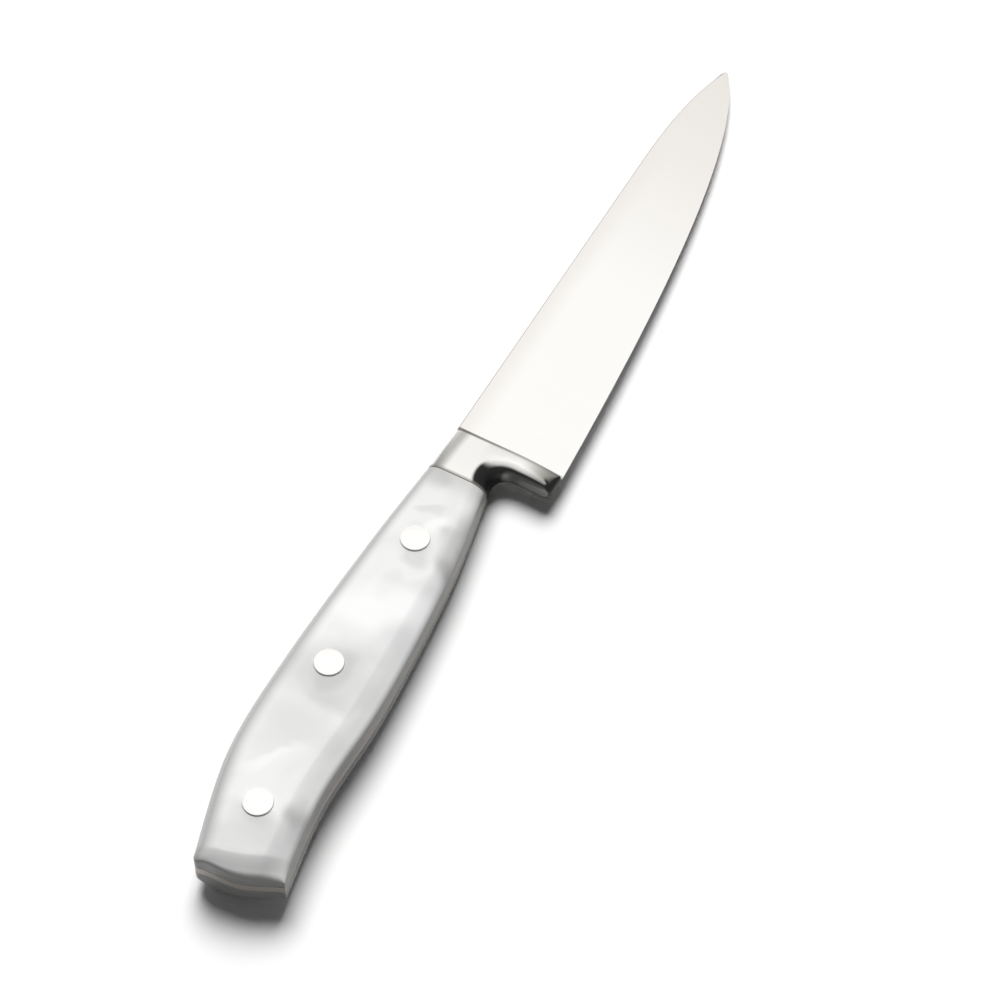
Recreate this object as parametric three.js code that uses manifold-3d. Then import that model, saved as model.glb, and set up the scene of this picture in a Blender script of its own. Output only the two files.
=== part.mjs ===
// Steak knife: a plain-edged blade forged in one piece with its full bolster and full tang, and two
// scales held on the tang by three two-part rivets. Millimetres, +X to the tip, +Y to the back, +Z up.
// Each piece is drawn in the knife's own frame, with x = 0 at the bolster's front, y = 0 along the
// back of the blade and z = 0 on the middle plane. The finished knife is then laid on its left scale.

import * as THREE from 'three';
import { mergeVertices } from 'three/addons/utils/BufferGeometryUtils.js';
import Module from 'manifold-3d';

// Blade
const BLADE_LENGTH = 119.2;
const BLADE_HEIGHT = 25.6;
const BACK_THICKNESS = 2.2;
const TIP_THICKNESS = 1;
const BACK_EASE = 0.25;
const BACK_STRAIGHT = 86;
const BACK_FALL_RUN = 22;
const TIP_DROP = 4.5;
const TIP_BLUNT = 0.6;
const EDGE_HEEL_RUN = 60;
const EDGE_HEEL_RISE = 3.6;
const EDGE_TIP_RUN = 15;
const EDGE_TIP_DROP = 11.6;
const EDGE_BEVEL = 0.9;
const EDGE_SHOULDER = 0.5;
const LARGEST_EASE_SHARE = 0.125;
const LARGEST_BEVEL_SHARE = 0.5;
const LARGEST_WEDGE = 0.04;
const BLADE_ROOT_LENGTH = 2.5;
const BLADE_ROOT_TAPER = 0.3;

// Bolster, with the chin that drops to the heel and the finger notch behind it
const BOLSTER_LENGTH = 12.7;
const BOLSTER_FRONT_THICKNESS = 4.6;
const BOLSTER_FRONT_ROUND = 0.4;
const BOLSTER_SWELL = 0.65;
const BOLSTER_BACK_SHOULDER = 1.7;
const NOTCH_RISE = 0.6;
const NOTCH_RADIUS = 3.6;
const NOTCH_SHOULDER = 2.8;
const CHIN_LENGTH = 5.3;
const CHIN_RELIEF = 0.2;
const CHIN_THINNING = 2.4;
const CHIN_SHOULDER = 1.6;
const CHIN_WALL = 1;
const CHIN_CORNER = 1.6;
const CHIN_CORNER_SHOULDER = 4;
const HEEL_SHOULDER = 0.4;

// Handle outline, as heights of its back above and drops of its belly below the back of the blade
const HANDLE_LENGTH = 104.1;
const FORE_STATION = 0.22;
const SWELL_STATION = 0.53;
const WAIST_STATION = 0.77;
const BACK_AT_FORE = 1.3;
const BACK_AT_SWELL = 2.05;
const BACK_AT_WAIST = 0.7;
const BACK_DROP_AT_BUTT = 6.4;
const BELLY_AT_FRONT = 13.9;
const BELLY_AT_FORE = 18.2;
const BELLY_AT_SWELL = 21.3;
const BELLY_AT_WAIST = 21.5;
const BELLY_AT_BUTT = 24.7;
const BUTT_RAKE = 3.9;
const BUTT_CROWN = 1.8;
const BUTT_CORNER = 1.6;
const BUTT_CORNER_SLOPE = 22;
const BUTT_CROWN_FADE = 8;

// Handle thickness, which narrows evenly from the butt to the bolster, and its shoulders. The back's is a
// plain round. The belly's is one at the bolster, and grows along the handle into a facet with a rounded
// outer corner, as the butt's is.
const HANDLE_FRONT_THICKNESS = 9.2;
const HANDLE_BUTT_THICKNESS = 14;
const SHOULDER_WIDTH = 4;
const SHOULDER_DEPTH = 3.8;
const REAR_SHOULDER_WIDTH = 5;
const FACET_START = 0.12;
const FACET_FULL = 0.5;
const BELLY_FACET = { share: 0.72, sink: 0.42 };
const BUTT_SHOULDER_WIDTH = 4.6;
const BUTT_DROP = 4.3;
const BUTT_FACET = { share: 0.82, sink: 0.66 };

// Tang, its root in the bolster and the bond lines of the scales
const TANG_THICKNESS = 2.2;
const TANG_ROOT_LENGTH = 4;
const TANG_ROOT_INSET = 3;
const BOND_LINE = 0.1;

// Two-part rivets
const RIVET_FRONT_INSET = 18.3;
const RIVET_MIDDLE_INSET = 53.6;
const RIVET_BUTT_INSET = 88.7;
const RIVET_FRONT_DROP = 7.4;
const RIVET_MIDDLE_DROP = 7.4;
const RIVET_BUTT_DROP = 11.8;
const RIVET_HEAD_DIAMETER = 6.35;
const RIVET_HEAD_DEPTH = 2;
const RIVET_PROUD = 0.4;
const RIVET_RIM = 0.25;
const RIVET_TUBE_DIAMETER = 4.2;
const RIVET_PIN_DIAMETER = 3;
const RIVET_CLEARANCE = 0.1;
const RIVET_END_GAP = 0.4;

// Fineness of the facets
const BLADE_STATIONS = 26;
const TIP_CROWDING = 1.5;
const ROOF_STEPS = 5;
const NOTCH_STEPS = 8;
const CORNER_STEPS = 5;
const FOOT_STEPS = 4;
const CHIN_STEPS = 8;
const FRONT_ROUND_STEPS = 3;
const OUTLINE_CHECKS = 240;
const HANDLE_STATIONS = 20;
const SHOULDER_STEPS = 5;
const FACET_CORNER_STEPS = 3;
const LAND_STEPS = 5;
const ROUND_STEPS = 28;
const RIM_STEPS = 3;
const HALVINGS = 40;

const { lerp } = THREE.MathUtils;
const JOINT_X = -BOLSTER_LENGTH;
const BUTT_X = JOINT_X - HANDLE_LENGTH;
const QUARTER_TURN = Math.PI / 2;

const wasm = await Module();
wasm.setup();

// Closed geometry to a solid that can be joined and cut, without the facets that collapse on an axis
function toSolid(geometry) {
  const bare = new THREE.BufferGeometry();
  bare.setAttribute('position', geometry.getAttribute('position'));
  bare.setIndex(geometry.getIndex());
  const merged = mergeVertices(bare);
  const corners = merged.getIndex().array;
  const kept = [];
  for (let i = 0; i < corners.length; i += 3) {
    const [a, b, c] = corners.slice(i, i + 3);
    if (a !== b && b !== c && c !== a) {
      kept.push(a, b, c);
    }
  }
  const vertProperties = new Float32Array(merged.getAttribute('position').array);
  const triVerts = new Uint32Array(kept);
  return new wasm.Manifold(new wasm.Mesh({ numProp: 3, vertProperties, triVerts }));
}

// Solid to geometry for a mesh
function toGeometry(solid) {
  const mesh = solid.getMesh();
  const geometry = new THREE.BufferGeometry();
  geometry.setAttribute('position', new THREE.BufferAttribute(mesh.vertProperties, 3));
  geometry.setIndex(new THREE.BufferAttribute(mesh.triVerts, 1));
  geometry.computeVertexNormals();
  return geometry;
}

// Box between two corners
function boxBetween(low, high) {
  const size = high.clone().sub(low);
  const middle = low.clone().add(high).divideScalar(2);
  const geometry = new THREE.BoxGeometry(size.x, size.y, size.z);
  return toSolid(geometry.translate(middle.x, middle.y, middle.z));
}

// Skin through closed rings, listed towards +X and each turning from +Y to +Z. Its ends are closed by
// rungs between the two sides of the first and the last ring.
function loft(rings) {
  const count = rings[0].length;
  const last = (rings.length - 1) * count;
  const index = [];
  for (let start = 0; start < last; start += count) {
    for (let i = 0; i < count; i += 1) {
      const a = start + i;
      const b = start + ((i + 1) % count);
      index.push(a, b, b + count, a, b + count, a + count);
    }
  }
  for (let i = 0, far = count - 1; i + 1 < far; i += 1, far -= 1) {
    index.push(i, far - 1, i + 1, i, far, far - 1);
    index.push(last + i, last + i + 1, last + far - 1, last + i, last + far - 1, last + far);
  }
  const geometry = new THREE.BufferGeometry().setFromPoints(rings.flat());
  geometry.setIndex(index);
  return toSolid(geometry);
}

// Closed ring over points of a face: the given height above each point, and the given depth below it
function ringOver(points, high, low) {
  const raise = (height) => (point) => new THREE.Vector3(point.x, point.y, height(point));
  return [...points.map(raise(high)), ...points.map(raise(low)).reverse()];
}

// One step of a shoulder, from its outer edge to the face, as shares of its width and of its depth below
// the face: on a plain round, and on a facet with a rounded outer corner.
function roundPoint(step) {
  const turn = (QUARTER_TURN * step) / SHOULDER_STEPS;
  return new THREE.Vector2(1 - Math.cos(turn), 1 - Math.sin(turn));
}

function facetPoint(step, facet) {
  const corner = new THREE.QuadraticBezierCurve(
    new THREE.Vector2(0, 1),
    new THREE.Vector2(0, facet.sink / facet.share),
    new THREE.Vector2(1 - facet.share, facet.sink),
  );
  const onCorner = corner.getPoint(Math.min(1, step / FACET_CORNER_STEPS));
  const onFacet = Math.max(0, step - FACET_CORNER_STEPS) / (SHOULDER_STEPS - FACET_CORNER_STEPS);
  return onCorner.lerp(new THREE.Vector2(1, 0), onFacet);
}

// Points across a face, from its back to its low side, with a shoulder at each end. placeAt gives the
// place in plan at a distance from the back, and faceAt the height of the face there.
function facePoints({ span, placeAt, faceAt, backShoulder, lowShoulder }) {
  const standAt = (distance, sink) => {
    const place = placeAt(distance);
    return new THREE.Vector3(place.x, place.y, faceAt(place) - sink);
  };
  const backSide = [];
  const lowSide = [];
  for (let i = 0; i <= SHOULDER_STEPS; i += 1) {
    const back = roundPoint(i);
    const low = roundPoint(i).lerp(facetPoint(i, BELLY_FACET), lowShoulder.facet);
    backSide.push(standAt(backShoulder.width * back.x, backShoulder.depth * back.y));
    lowSide.unshift(standAt(span - lowShoulder.width * low.x, lowShoulder.depth * low.y));
  }
  const land = [];
  for (let i = 1; i < LAND_STEPS; i += 1) {
    land.push(standAt(lerp(backShoulder.width, span - lowShoulder.width, i / LAND_STEPS), 0));
  }
  return [...backSide, ...land, ...lowSide];
}

// Height of a curve, which runs one way along x, at a given x
function heightAt(curve, x) {
  const rising = curve.getPoint(1).x > curve.getPoint(0).x;
  let low = 0;
  let high = 1;
  for (let halving = 0; halving < HALVINGS; halving += 1) {
    const middle = (low + high) / 2;
    if (curve.getPoint(middle).x < x === rising) {
      low = middle;
    } else {
      high = middle;
    }
  }
  return curve.getPoint(low).y;
}

// Blade: a flat-ground wedge with eased corners along the back and a fine bevel along the edge
const tip = new THREE.Vector2(BLADE_LENGTH, -TIP_DROP);

const bladeBack = new THREE.QuadraticBezierCurve(
  new THREE.Vector2(BACK_STRAIGHT, 0),
  new THREE.Vector2(BACK_STRAIGHT + BACK_FALL_RUN, 0),
  tip,
);

const bladeEdge = new THREE.CubicBezierCurve(
  new THREE.Vector2(0, -BLADE_HEIGHT),
  new THREE.Vector2(EDGE_HEEL_RUN, -BLADE_HEIGHT + EDGE_HEEL_RISE),
  new THREE.Vector2(BLADE_LENGTH - EDGE_TIP_RUN, -TIP_DROP - EDGE_TIP_DROP),
  tip,
);

// One ring square to the blade's length. Close to the tip its ease, its bevel and its thickness shrink with
// its height.
function bladeRing(x) {
  const back = x < BACK_STRAIGHT ? 0 : heightAt(bladeBack, x);
  const edge = heightAt(bladeEdge, x);
  const full = lerp(BACK_THICKNESS, TIP_THICKNESS, x / BLADE_LENGTH) / 2;
  const half = Math.min(full, EDGE_SHOULDER / 2 + (back - edge) * LARGEST_WEDGE);
  const ease = Math.min(BACK_EASE, (back - edge) * LARGEST_EASE_SHARE);
  const bevel = Math.min(EDGE_BEVEL, (back - edge) * LARGEST_BEVEL_SHARE);
  const side = [
    new THREE.Vector3(x, back, half - ease),
    new THREE.Vector3(x, back - ease, half),
    new THREE.Vector3(x, edge + bevel, EDGE_SHOULDER / 2),
  ];
  const ring = ringOver(side, (point) => point.z, (point) => -point.z);
  ring.splice(side.length, 0, new THREE.Vector3(x, edge, 0));
  return ring;
}

// Its root tapers into the bolster, and its stations crowd towards the tip
function makeBlade() {
  const root = bladeRing(0).map((point) => {
    const rootY = lerp(point.y, -BLADE_HEIGHT / 2, BLADE_ROOT_TAPER);
    return new THREE.Vector3(-BLADE_ROOT_LENGTH, rootY, point.z);
  });
  const rings = [root];
  for (let i = 0; i <= BLADE_STATIONS; i += 1) {
    const share = 1 - (1 - i / BLADE_STATIONS) ** TIP_CROWDING;
    rings.push(bladeRing(share * (BLADE_LENGTH - TIP_BLUNT)));
  }
  return loft(rings);
}

// Half thickness of the handle at one x, and how deep its rounded shoulders reach there
function handleHalf(x) {
  return lerp(HANDLE_FRONT_THICKNESS, HANDLE_BUTT_THICKNESS, (JOINT_X - x) / HANDLE_LENGTH) / 2;
}

function shoulderDepth(x) {
  return (SHOULDER_DEPTH * 2 * handleHalf(x)) / HANDLE_BUTT_THICKNESS;
}

// Bolster: rings square to the knife's length, from the handle joint to the blade. Their lower ends
// follow an outline that runs along the roof of the notch, down the back of the chin, round its corner
// and along its foot to the heel.
const notchTop = NOTCH_RISE - BELLY_AT_FRONT;
const notchEnd = -CHIN_LENGTH - NOTCH_RADIUS;
const notchMiddle = (JOINT_X + notchEnd) / 2;
const heelY = CHIN_RELIEF - BLADE_HEIGHT;

const bolsterLow = new THREE.Path();
bolsterLow.moveTo(JOINT_X, -BELLY_AT_FRONT);
bolsterLow.bezierCurveTo(notchMiddle, -BELLY_AT_FRONT, notchMiddle, notchTop, notchEnd, notchTop);
bolsterLow.quadraticCurveTo(-CHIN_LENGTH, notchTop, -CHIN_LENGTH, notchTop - NOTCH_RADIUS);
bolsterLow.lineTo(-CHIN_LENGTH, heelY + CHIN_CORNER);
bolsterLow.quadraticCurveTo(-CHIN_LENGTH, heelY, CHIN_CORNER - CHIN_LENGTH, heelY);
bolsterLow.lineTo(-BOLSTER_FRONT_ROUND, heelY);

// Values along that outline, given at its start and at the end of each of its stretches: the width and
// the foot of its rounded shoulder
const jointFoot = handleHalf(JOINT_X) - shoulderDepth(JOINT_X);
const chinFoot = CHIN_WALL / 2;
const lowEnds = [0, ...bolsterLow.getCurveLengths()];
const lowFeet = [jointFoot, chinFoot, chinFoot, chinFoot, chinFoot, chinFoot];
const lowWidths = [
  SHOULDER_WIDTH,
  NOTCH_SHOULDER,
  NOTCH_SHOULDER,
  CHIN_SHOULDER,
  CHIN_CORNER_SHOULDER,
  HEEL_SHOULDER,
];

function alongLow(values, share) {
  const reach = share * lowEnds.at(-1);
  const next = Math.max(1, lowEnds.filter((end) => end < reach).length);
  const passed = (reach - lowEnds[next - 1]) / (lowEnds[next] - lowEnds[next - 1]);
  return lerp(values[next - 1], values[next], Math.min(1, passed));
}

// Half thickness of the bolster, which falls towards the blade and thins down the chin
function bolsterHalf(place) {
  const along = Math.min(place.x, -BOLSTER_FRONT_ROUND) / JOINT_X;
  const fall = lerp(1 - along, (1 - along) ** 2, BOLSTER_SWELL);
  const down = Math.max(0, (notchTop - place.y) / (notchTop - heelY));
  const face = lerp(HANDLE_FRONT_THICKNESS, BOLSTER_FRONT_THICKNESS, fall);
  return (face - down ** 2 * CHIN_THINNING) / 2;
}

// Share of its full height that a rounded shoulder has at a distance from its foot
function shoulderRise(distance, width) {
  return Math.sqrt(1 - Math.max(0, 1 - distance / width) ** 2);
}

// Height of the bolster's face at a place, rounded off towards its lower outline and its back
const lowPoints = bolsterLow.getSpacedPoints(OUTLINE_CHECKS);

function bolsterHeight(place, share) {
  const gaps = lowPoints.map((point) => point.distanceTo(place));
  const gap = Math.min(...gaps);
  const lowShare = gaps.indexOf(gap) / (lowPoints.length - 1);
  const face = bolsterHalf(place);
  const lowRise = shoulderRise(gap, alongLow(lowWidths, lowShare));
  const backRise = shoulderRise(-place.y, lerp(SHOULDER_WIDTH, BOLSTER_BACK_SHOULDER, share));
  const backDepth = lerp(shoulderDepth(JOINT_X), BOLSTER_BACK_SHOULDER, share);
  return Math.min(lerp(alongLow(lowFeet, lowShare), face, lowRise), face - backDepth * (1 - backRise));
}

// One ring above a point of the lower outline, moved forward and with its face lowered where the front
// edge is rounded. Past the notch its points go on below the notch's level, down the chin.
function bolsterRing(low, forward, drop) {
  const share = 1 - low.x / JOINT_X;
  const level = new THREE.Vector2(low.x, Math.max(low.y, notchTop - NOTCH_RADIUS));
  const stand = (place) => new THREE.Vector3(place.x, place.y, bolsterHeight(place, share));
  const points = facePoints({
    span: -level.y,
    placeAt: (distance) => new THREE.Vector2(low.x, -distance),
    faceAt: (place) => stand(place).z,
    backShoulder: { width: lerp(SHOULDER_WIDTH, BOLSTER_BACK_SHOULDER, share), depth: 0 },
    lowShoulder: { width: NOTCH_SHOULDER, depth: 0, facet: 0 },
  });
  for (let i = 1; i <= CHIN_STEPS; i += 1) {
    const turn = (QUARTER_TURN * i) / CHIN_STEPS;
    points.push(stand(level.clone().lerp(low, Math.sin(turn))));
  }
  points.forEach((point) => point.set(point.x + forward, point.y, point.z - drop));
  return ringOver(points, (point) => point.z, (point) => -point.z);
}

function makeBolster() {
  const [roof, notch, , corner, foot] = bolsterLow.curves;
  const lows = [
    ...roof.getPoints(ROOF_STEPS),
    ...notch.getPoints(NOTCH_STEPS).slice(1, -1),
    ...corner.getPoints(CORNER_STEPS),
    ...foot.getPoints(FOOT_STEPS).slice(1),
  ];
  const rings = lows.map((low) => bolsterRing(low, 0, 0));
  for (let i = 1; i <= FRONT_ROUND_STEPS; i += 1) {
    const turn = (QUARTER_TURN * i) / FRONT_ROUND_STEPS;
    const forward = BOLSTER_FRONT_ROUND * Math.sin(turn);
    rings.push(bolsterRing(lows.at(-1), forward, BOLSTER_FRONT_ROUND * (1 - Math.cos(turn))));
  }
  return loft(rings);
}

// Handle outline in plan, shared by the tang and the scales: its back with the turn into the butt, and
// its belly, each from the bolster to the butt
const buttCorner = new THREE.Vector2(BUTT_X, -BACK_DROP_AT_BUTT);
const buttBeak = new THREE.Vector2(BUTT_X + BUTT_RAKE, -BELLY_AT_BUTT);
const cornerSlope = THREE.MathUtils.degToRad(BUTT_CORNER_SLOPE);
const cornerStart = new THREE.Vector2(Math.cos(cornerSlope), Math.sin(cornerSlope));
const cornerEnd = buttBeak.clone().sub(buttCorner).normalize();
const stationPoint = (share, y) => new THREE.Vector2(JOINT_X - share * HANDLE_LENGTH, y);

const handleBack = new THREE.Path();
handleBack.moveTo(JOINT_X, 0);
handleBack.splineThru([
  stationPoint(FORE_STATION, BACK_AT_FORE),
  stationPoint(SWELL_STATION, BACK_AT_SWELL),
  stationPoint(WAIST_STATION, BACK_AT_WAIST),
  cornerStart.multiplyScalar(BUTT_CORNER).add(buttCorner),
]);
cornerEnd.multiplyScalar(BUTT_CORNER).add(buttCorner);
handleBack.quadraticCurveTo(buttCorner.x, buttCorner.y, cornerEnd.x, cornerEnd.y);

const handleBelly = new THREE.Path();
handleBelly.moveTo(JOINT_X, -BELLY_AT_FRONT);
handleBelly.splineThru([
  stationPoint(FORE_STATION, -BELLY_AT_FORE),
  stationPoint(SWELL_STATION, -BELLY_AT_SWELL),
  stationPoint(WAIST_STATION, -BELLY_AT_WAIST),
  buttBeak,
]);

// Line across the handle in plan, at a share of its length: near the butt it is bowed to a parabola, whose
// height at mid span is the bow, and it is straight elsewhere
function handleLine(share) {
  const top = handleBack.getPoint(share);
  const low = handleBelly.getPoint(share);
  const bow = BUTT_CROWN * share ** BUTT_CROWN_FADE;
  const span = top.distanceTo(low);
  const placeAt = (distance) => {
    const across = distance / span;
    const place = top.clone().lerp(low, across);
    place.x -= 4 * bow * across * (1 - across);
    return place;
  };
  return { span, placeAt };
}

// Points of the scale's outer face on one line across the handle, lowered by a drop near the butt
function handleFace(share, drop) {
  const line = handleLine(share);
  const facet = THREE.MathUtils.smoothstep(share, FACET_START, FACET_FULL);
  const width = lerp(SHOULDER_WIDTH, REAR_SHOULDER_WIDTH, facet);
  const shoulder = (place) => ({ width, depth: Math.max(0, shoulderDepth(place.x) - drop), facet });
  return facePoints({
    ...line,
    faceAt: (place) => handleHalf(place.x) - drop,
    backShoulder: shoulder(line.placeAt(0)),
    lowShoulder: shoulder(line.placeAt(line.span)),
  });
}

// Places of the rivets in plan
const rivetPlaces = {
  front: new THREE.Vector2(JOINT_X - RIVET_FRONT_INSET, -RIVET_FRONT_DROP),
  middle: new THREE.Vector2(JOINT_X - RIVET_MIDDLE_INSET, -RIVET_MIDDLE_DROP),
  butt: new THREE.Vector2(JOINT_X - RIVET_BUTT_INSET, -RIVET_BUTT_DROP),
};

const headRadius = RIVET_HEAD_DIAMETER / 2;
const tubeRadius = RIVET_TUBE_DIAMETER / 2;
const pinRadius = RIVET_PIN_DIAMETER / 2;

// Solid of revolution about the upright line through a place in plan, from [radius, z] pairs that climb
// its outside. On the left side the profile is turned over. Its walls stay upright, and its level faces
// are sheared until they lie along the slope of the scale.
const faceSlope = (HANDLE_FRONT_THICKNESS - HANDLE_BUTT_THICKNESS) / (2 * HANDLE_LENGTH);

function turned(place, profile, side) {
  const points = profile.map(([radius, z]) => new THREE.Vector2(radius, side * z));
  const ordered = side > 0 ? points : points.reverse();
  const geometry = new THREE.LatheGeometry(ordered, ROUND_STEPS).rotateX(QUARTER_TURN);
  const shear = new THREE.Matrix4().makeShear(0, side * faceSlope, 0, 0, 0, 0);
  return toSolid(geometry.applyMatrix4(shear).translate(place.x, place.y, 0));
}

// Height above the middle plane of the counterbore's floor, on which a rivet head seats
function rivetSeat(place) {
  return handleHalf(place.x) + RIVET_PROUD - RIVET_HEAD_DEPTH;
}

// Stations along the handle, from the butt to the bolster, with the drop of the scale's face at each:
// the facetted butt first, then even steps
const bellyLength = handleBelly.getLength();

function handleStations(frontGap) {
  const roundStart = 1 - BUTT_SHOULDER_WIDTH / bellyLength;
  const stations = [];
  for (let i = 0; i < SHOULDER_STEPS; i += 1) {
    const point = facetPoint(i, BUTT_FACET);
    stations.push({ share: lerp(1, roundStart, point.x), drop: BUTT_DROP * point.y });
  }
  for (let i = HANDLE_STATIONS; i >= 0; i -= 1) {
    stations.push({ share: lerp(frontGap / bellyLength, roundStart, i / HANDLE_STATIONS), drop: 0 });
  }
  return stations;
}

// Tang: a flat plate of the handle's outline, drilled for the rivet tubes, with a root in the bolster
function makeTang() {
  const half = TANG_THICKNESS / 2;
  const rings = handleStations(0).map(({ share }) => ringOver(handleFace(share, 0), () => half, () => -half));
  const rootLow = new THREE.Vector3(JOINT_X - TANG_ROOT_LENGTH, TANG_ROOT_INSET - BELLY_AT_FRONT, -half);
  const rootHigh = new THREE.Vector3(JOINT_X + TANG_ROOT_LENGTH, -TANG_ROOT_INSET, half);
  let tang = loft(rings).add(boxBetween(rootLow, rootHigh));
  const boreRadius = tubeRadius + RIVET_CLEARANCE;
  const bore = [
    [0, -TANG_THICKNESS],
    [boreRadius, -TANG_THICKNESS],
    [boreRadius, TANG_THICKNESS],
    [0, TANG_THICKNESS],
  ];
  for (const place of Object.values(rivetPlaces)) {
    tang = tang.subtract(turned(place, bore, 1));
  }
  return tang;
}

// Scale: rings from the facetted butt to the bolster, counterbored for the rivets
function makeScale(side) {
  const face = TANG_THICKNESS / 2 + BOND_LINE;
  const ring = (points) =>
    side > 0
      ? ringOver(points, (point) => point.z, () => face)
      : ringOver(points, () => -face, (point) => -point.z);
  const rings = handleStations(BOND_LINE).map(({ share, drop }) => ring(handleFace(share, drop)));
  let scale = loft(rings);
  for (const place of Object.values(rivetPlaces)) {
    const bore = [
      [0, 0],
      [tubeRadius + RIVET_CLEARANCE, 0],
      [tubeRadius + RIVET_CLEARANCE, rivetSeat(place)],
      [headRadius + RIVET_CLEARANCE, rivetSeat(place)],
      [headRadius + RIVET_CLEARANCE, HANDLE_BUTT_THICKNESS],
      [0, HANDLE_BUTT_THICKNESS],
    ];
    scale = scale.subtract(turned(place, bore, side));
  }
  return scale;
}

// Outside of a rivet head, from its underside round its eased rim to the middle of its face
function rivetHead(place) {
  const face = handleHalf(place.x) + RIVET_PROUD;
  const head = [[headRadius, rivetSeat(place) + RIVET_CLEARANCE]];
  for (let i = 0; i <= RIM_STEPS; i += 1) {
    const turn = (QUARTER_TURN * i) / RIM_STEPS;
    head.push([
      headRadius - RIVET_RIM * (1 - Math.cos(turn)),
      face - RIVET_RIM * (1 - Math.sin(turn)),
    ]);
  }
  head.push([0, face]);
  return head;
}

// Right half of a rivet: a head on a solid pin that is pressed into the other half's tube
function makeRivetPin(place) {
  const under = rivetSeat(place) + RIVET_CLEARANCE;
  const pinEnd = RIVET_END_GAP - rivetSeat(place);
  const pin = [
    [0, pinEnd],
    [pinRadius, pinEnd],
    [pinRadius, under],
  ];
  return turned(place, [...pin, ...rivetHead(place)], 1);
}

// Left half of a rivet: a head on a tube that runs through both scales and the tang
function makeRivetTube(place) {
  const under = rivetSeat(place) + RIVET_CLEARANCE;
  const floor = rivetSeat(place);
  const tubeEnd = RIVET_END_GAP - rivetSeat(place);
  const boreRadius = pinRadius + RIVET_CLEARANCE;
  const tube = [
    [0, floor],
    [boreRadius, floor],
    [boreRadius, tubeEnd],
    [tubeRadius, tubeEnd],
    [tubeRadius, under],
  ];
  return turned(place, [...tube, ...rivetHead(place)], -1);
}

// Finishes
const polishedSteel = new THREE.MeshStandardMaterial({ color: 0xdedcd8, metalness: 1, roughness: 0.18 });
const brightSteel = new THREE.MeshStandardMaterial({ color: 0xe6e5e2, metalness: 1, roughness: 0.12 });
const pearlAcrylic = new THREE.MeshStandardMaterial({ color: 0xeeeeec, metalness: 0, roughness: 0.15 });

// Knife in its own frame
const knife = new THREE.Group();

function addPiece(name, solid, material) {
  const mesh = new THREE.Mesh(toGeometry(solid), material.clone());
  mesh.name = name;
  knife.add(mesh);
}

addPiece('blade', makeBlade().add(makeBolster()).add(makeTang()), polishedSteel);
addPiece('scale_right', makeScale(1), pearlAcrylic);
addPiece('scale_left', makeScale(-1), pearlAcrylic);
for (const [station, place] of Object.entries(rivetPlaces)) {
  addPiece(`rivet_pin_${station}`, makeRivetPin(place), brightSteel);
  addPiece(`rivet_tube_${station}`, makeRivetTube(place), brightSteel);
}

// Laid down: the knife is tipped until its left scale, and the rivet heads that it lies on, are level
knife.rotation.y = -Math.atan(faceSlope);
const steakKnife = new THREE.Group();
steakKnife.name = 'steak_knife';
steakKnife.add(knife);
steakKnife.updateMatrixWorld(true);
const bounds = new THREE.Box3().setFromObject(steakKnife, true);
const middle = bounds.getCenter(new THREE.Vector3());
knife.position.set(-middle.x, -middle.y, -bounds.min.z);

export default steakKnife;
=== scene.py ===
"""Looks of a steak knife: a forged blade with bolster and tang, pearl acrylic scales and two-part rivets.

Every piece is modelled in the knife's own frame, in millimetres: x = 0 at the front of the bolster with +X
to the tip, y = 0 along the back of the blade, and z = 0 on the middle plane. Placement then lays it in the
row's frame, in metres. Materials read that frame, so their lengths are in metres.
"""

import logging
import math
from dataclasses import dataclass, field
from enum import Enum
from typing import Callable, Sequence, Union

import bmesh
import bpy
from bmesh.types import BMesh, BMVert
from mathutils import Matrix, Vector
from mathutils.geometry import interpolate_bezier
from mathutils.kdtree import KDTree


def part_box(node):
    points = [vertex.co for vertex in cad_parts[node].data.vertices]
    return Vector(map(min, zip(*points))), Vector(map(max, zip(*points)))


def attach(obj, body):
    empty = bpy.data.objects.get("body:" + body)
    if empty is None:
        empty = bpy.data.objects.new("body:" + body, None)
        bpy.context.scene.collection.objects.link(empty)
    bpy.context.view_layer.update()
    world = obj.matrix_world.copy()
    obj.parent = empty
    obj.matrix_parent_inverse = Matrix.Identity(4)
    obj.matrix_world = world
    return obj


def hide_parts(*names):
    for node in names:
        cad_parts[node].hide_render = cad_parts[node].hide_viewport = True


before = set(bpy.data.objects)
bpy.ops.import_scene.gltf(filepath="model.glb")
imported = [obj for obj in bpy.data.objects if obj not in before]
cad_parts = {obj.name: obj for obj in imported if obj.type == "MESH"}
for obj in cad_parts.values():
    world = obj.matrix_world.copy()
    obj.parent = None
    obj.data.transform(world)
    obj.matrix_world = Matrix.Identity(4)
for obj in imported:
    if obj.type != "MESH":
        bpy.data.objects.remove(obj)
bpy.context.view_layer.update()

LOG = logging.getLogger("steak_knife")
METRES_PER_MM = 0.001
QUARTER_TURN = math.pi / 2
FULL_TURN = 2 * math.pi
# A Bezier handle of a smooth curve is this part of the chord between the neighbouring knots.
CHORD_PARTS = 6
# Radians that a wave texture turns per unit of length, at a scale of 1.
WAVE_RATE = 20
NOISE_MIDDLE = 0.5
# Distances under which points are merged: in drawn sheets, and after cutting and joining.
MERGE_MM = 0.002
FINE_MERGE_MM = 0.0002

Number = Union[int, float]
Colour = tuple[float, float, float, float]


class Side(Enum):
    """Sides of the knife, by the sign of z."""

    RIGHT = 1
    LEFT = -1

    @property
    def flip(self) -> Matrix:
        """Takes what is drawn on the right to this side."""
        return Matrix.Diagonal((1.0, 1.0, self.value, 1.0))


class Slot(Enum):
    """Material slots of the record."""

    STEEL = "polished_steel"
    RIVET = "rivet_steel"
    PEARL = "pearl_acrylic"


class Station(Enum):
    """Places of the rivets along the handle."""

    FRONT = "front"
    MIDDLE = "middle"
    BUTT = "butt"


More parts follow.
